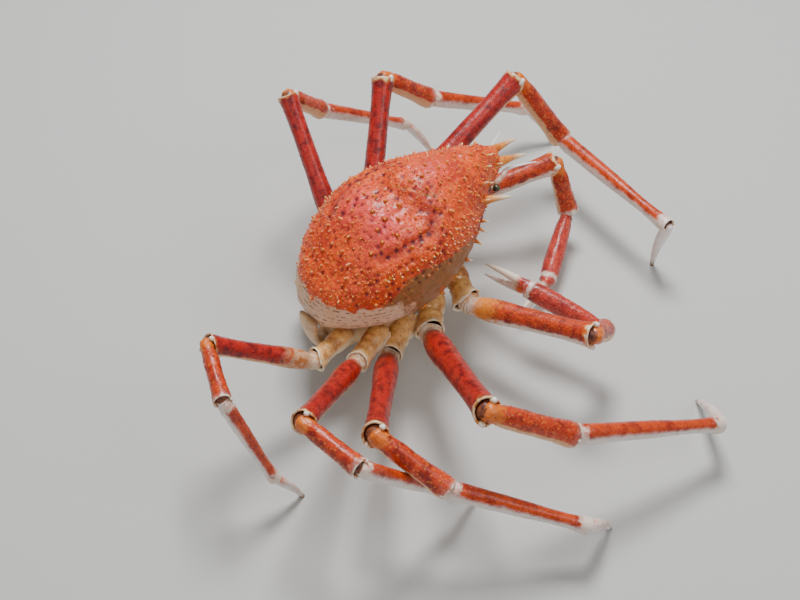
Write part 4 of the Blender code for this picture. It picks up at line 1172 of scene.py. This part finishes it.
def scattered(name, mesh, shape, shell, slot, nodes, spacing, smallest, largest, seed, lowest):
    """Copies of a small shape, standing out of a surface where its room is over the lowest."""
    tree = bpy.data.node_groups.new(name, "GeometryNodeTree")
    tree.interface.new_socket("Geometry", in_out="INPUT", socket_type="NodeSocketGeometry")
    sizes = {"Spacing": spacing, "Smallest": smallest, "Largest": largest}
    sockets = {label: tree.interface.new_socket(label, in_out="INPUT", socket_type="NodeSocketFloat")
               for label in sizes}
    tree.interface.new_socket("Geometry", in_out="OUTPUT", socket_type="NodeSocketGeometry")
    inlet = add(tree, "NodeGroupInput")
    room = add(tree, "GeometryNodeInputNamedAttribute", {"data_type": "FLOAT"}, Name="room")
    chosen = add(tree, "FunctionNodeCompare", {"data_type": "FLOAT", "operation": "GREATER_THAN"},
                 A=room.outputs[0], B=lowest)
    spread = add(tree, "GeometryNodeDistributePointsOnFaces", {"distribute_method": "POISSON"},
                 Mesh=inlet.outputs[0], Selection=chosen.outputs[0],
                 Distance_Min=inlet.outputs["Spacing"], Density_Max=2.0 / spacing ** 2, Seed=seed)
    grain = add(tree, "GeometryNodeObjectInfo", Object=shape)
    size = add(tree, "FunctionNodeRandomValue", {"data_type": "FLOAT"},
               n2=inlet.outputs["Smallest"], n3=inlet.outputs["Largest"], Seed=seed + 1)
    stand = add(tree, "GeometryNodeInstanceOnPoints", Points=spread.outputs["Points"],
                Instance=grain.outputs["Geometry"], Rotation=spread.outputs["Rotation"],
                Scale=size.outputs[1])
    real = add(tree, "GeometryNodeRealizeInstances", Geometry=stand.outputs[0])
    coloured = add(tree, "GeometryNodeSetMaterial", Geometry=real.outputs[0], Material=shell)
    add(tree, "NodeGroupOutput", Geometry=coloured.outputs[0])
    carrier = set_out(name, mesh)
    modifier = carrier.modifiers.new("scatter", "NODES")
    modifier.node_group = tree
    for label, socket in sockets.items():
        modifier[socket.identifier] = sizes[label]
    depsgraph = bpy.context.evaluated_depsgraph_get()
    finished = bpy.data.meshes.new_from_object(carrier.evaluated_get(depsgraph))
    carrier.modifiers.clear()
    carrier.data = finished
    finished.name = name
    fixed(carrier, nodes)


wart_shape = small_cone("wart_shape", 8, WART_PROFILE, 1.0)
granule_shape = small_cone("granule_shape", 5, GRANULE_PROFILE, 0.25)
wart_cuticle = cuticle("wart_cuticle", "#E2601A", "#B4340E", "#E08A38", "#F4AE56", "#DE5A1C",
                       mottle_mm=5.0, grain_mm=0.4, bump=0.00015, speck="#F09A3C", rough=0.34)
shell_ground = [bpy.data.objects["carapace_shell"]]
scattered("carapace_tubercles", ground("tubercle_ground", shell_ground), wart_shape, wart_cuticle,
          "carapace", ["carapace"], spacing=0.0088, smallest=0.0013, largest=0.0021, seed=3,
          lowest=0.12)
scattered("carapace_warts", ground("wart_ground", shell_ground), wart_shape, wart_cuticle,
          "carapace", ["carapace"], spacing=0.0036, smallest=0.0005, largest=0.0010, seed=4,
          lowest=0.10)
for side, side_name in SIDE_NAMES.items():
    for kind, part, shell, slot, spacing, size_range, lowest in (
            ("merus", "merus", merus_cuticle, "red_limb", 0.0030, (0.00022, 0.00045), 0.35),
            ("carpus", "carpus", carpus_cuticle, "orange_limb", 0.0026, (0.00025, 0.00055), 0.35),
            ("claw", "palm", palm_cuticle, "red_limb", 0.0022, (0.00025, 0.00055), 0.25)):
        names = [f"{name}_{part}" for name, limb in limbs.items()
                 if limb["side"] == side and (part != "palm" or name in claws)]
        pieces = [bpy.data.objects[f"{name}_shell"] for name in names]
        label = f"{kind}_granules_{side_name}"
        scattered(label, ground(label, pieces), granule_shape, shell, slot, names, spacing,
                  *size_range, seed=7, lowest=lowest)
for shape in (wart_shape, granule_shape):
    bpy.data.objects.remove(shape, do_unlink=True)


# Floor, lights and camera.
# A plain floor of pale matt paper under the feet, one soft main light from behind, a broad
# fill, a rim light and a long-lens camera above the crab's right side.
FLOOR_HALF = 6
floor_mesh = bpy.data.meshes.new("floor")
corners = [(x * FLOOR_HALF, y * FLOOR_HALF, 0) for x, y in ((-1, -1), (1, -1), (1, 1), (-1, 1))]
floor_mesh.from_pydata(corners, [], [(0, 1, 2, 3)])
floor = set_out("floor", floor_mesh)
paper = bpy.data.materials.new("pale_paper_floor")
paper.use_nodes = True
paper_surface = paper.node_tree.nodes["Principled BSDF"]
paper_surface.inputs["Base Color"].default_value = linear("#C6C6C4")
paper_surface.inputs["Roughness"].default_value = 0.9
floor_mesh.materials.append(paper)

CAMERA_TARGET = Vector((-0.01287, 0.01112, 0.0)) + CRAB_SHIFT
CAMERA_AZIMUTH = 53.99
CAMERA_ELEVATION = 50.86
CAMERA_DISTANCE = 1.0436
CAMERA_LENS = 58.5


def toward(azimuth, elevation):
    """Unit direction to the camera's side: azimuth from -Y towards +X."""
    a, e = math.radians(azimuth), math.radians(elevation)
    return Vector((math.sin(a) * math.cos(e), -math.cos(a) * math.cos(e), math.sin(e)))


camera_data = bpy.data.cameras.new("camera")
camera_data.sensor_width = 36.0
camera_data.lens = CAMERA_LENS
camera = set_out("camera", camera_data)
back = toward(CAMERA_AZIMUTH, CAMERA_ELEVATION)
camera.location = CAMERA_TARGET + back * CAMERA_DISTANCE
camera.rotation_euler = back.to_track_quat("Z", "Y").to_euler()
bpy.context.scene.camera = camera

# Place in degrees around and above the crab, distance and size in metres, and watts.
for name, azimuth, elevation, distance, size, power in (
        ("key_light", 235, 68, 1.6, 0.50, 30), ("fill_light", 20, 35, 1.8, 1.4, 5),
        ("rim_light", 120, 50, 1.7, 0.8, 7)):
    lamp = bpy.data.lights.new(name, "AREA")
    lamp.energy = power
    lamp.size = size
    item = set_out(name, lamp)
    way = toward(azimuth, elevation)
    item.location = way * distance
    item.rotation_euler = way.to_track_quat("Z", "Y").to_euler()

world = bpy.data.worlds.new("studio")
world.use_nodes = True
backdrop = world.node_tree.nodes["Background"]
backdrop.inputs["Color"].default_value = linear("#EEF0F2")
backdrop.inputs["Strength"].default_value = 0.28
bpy.context.scene.world = world
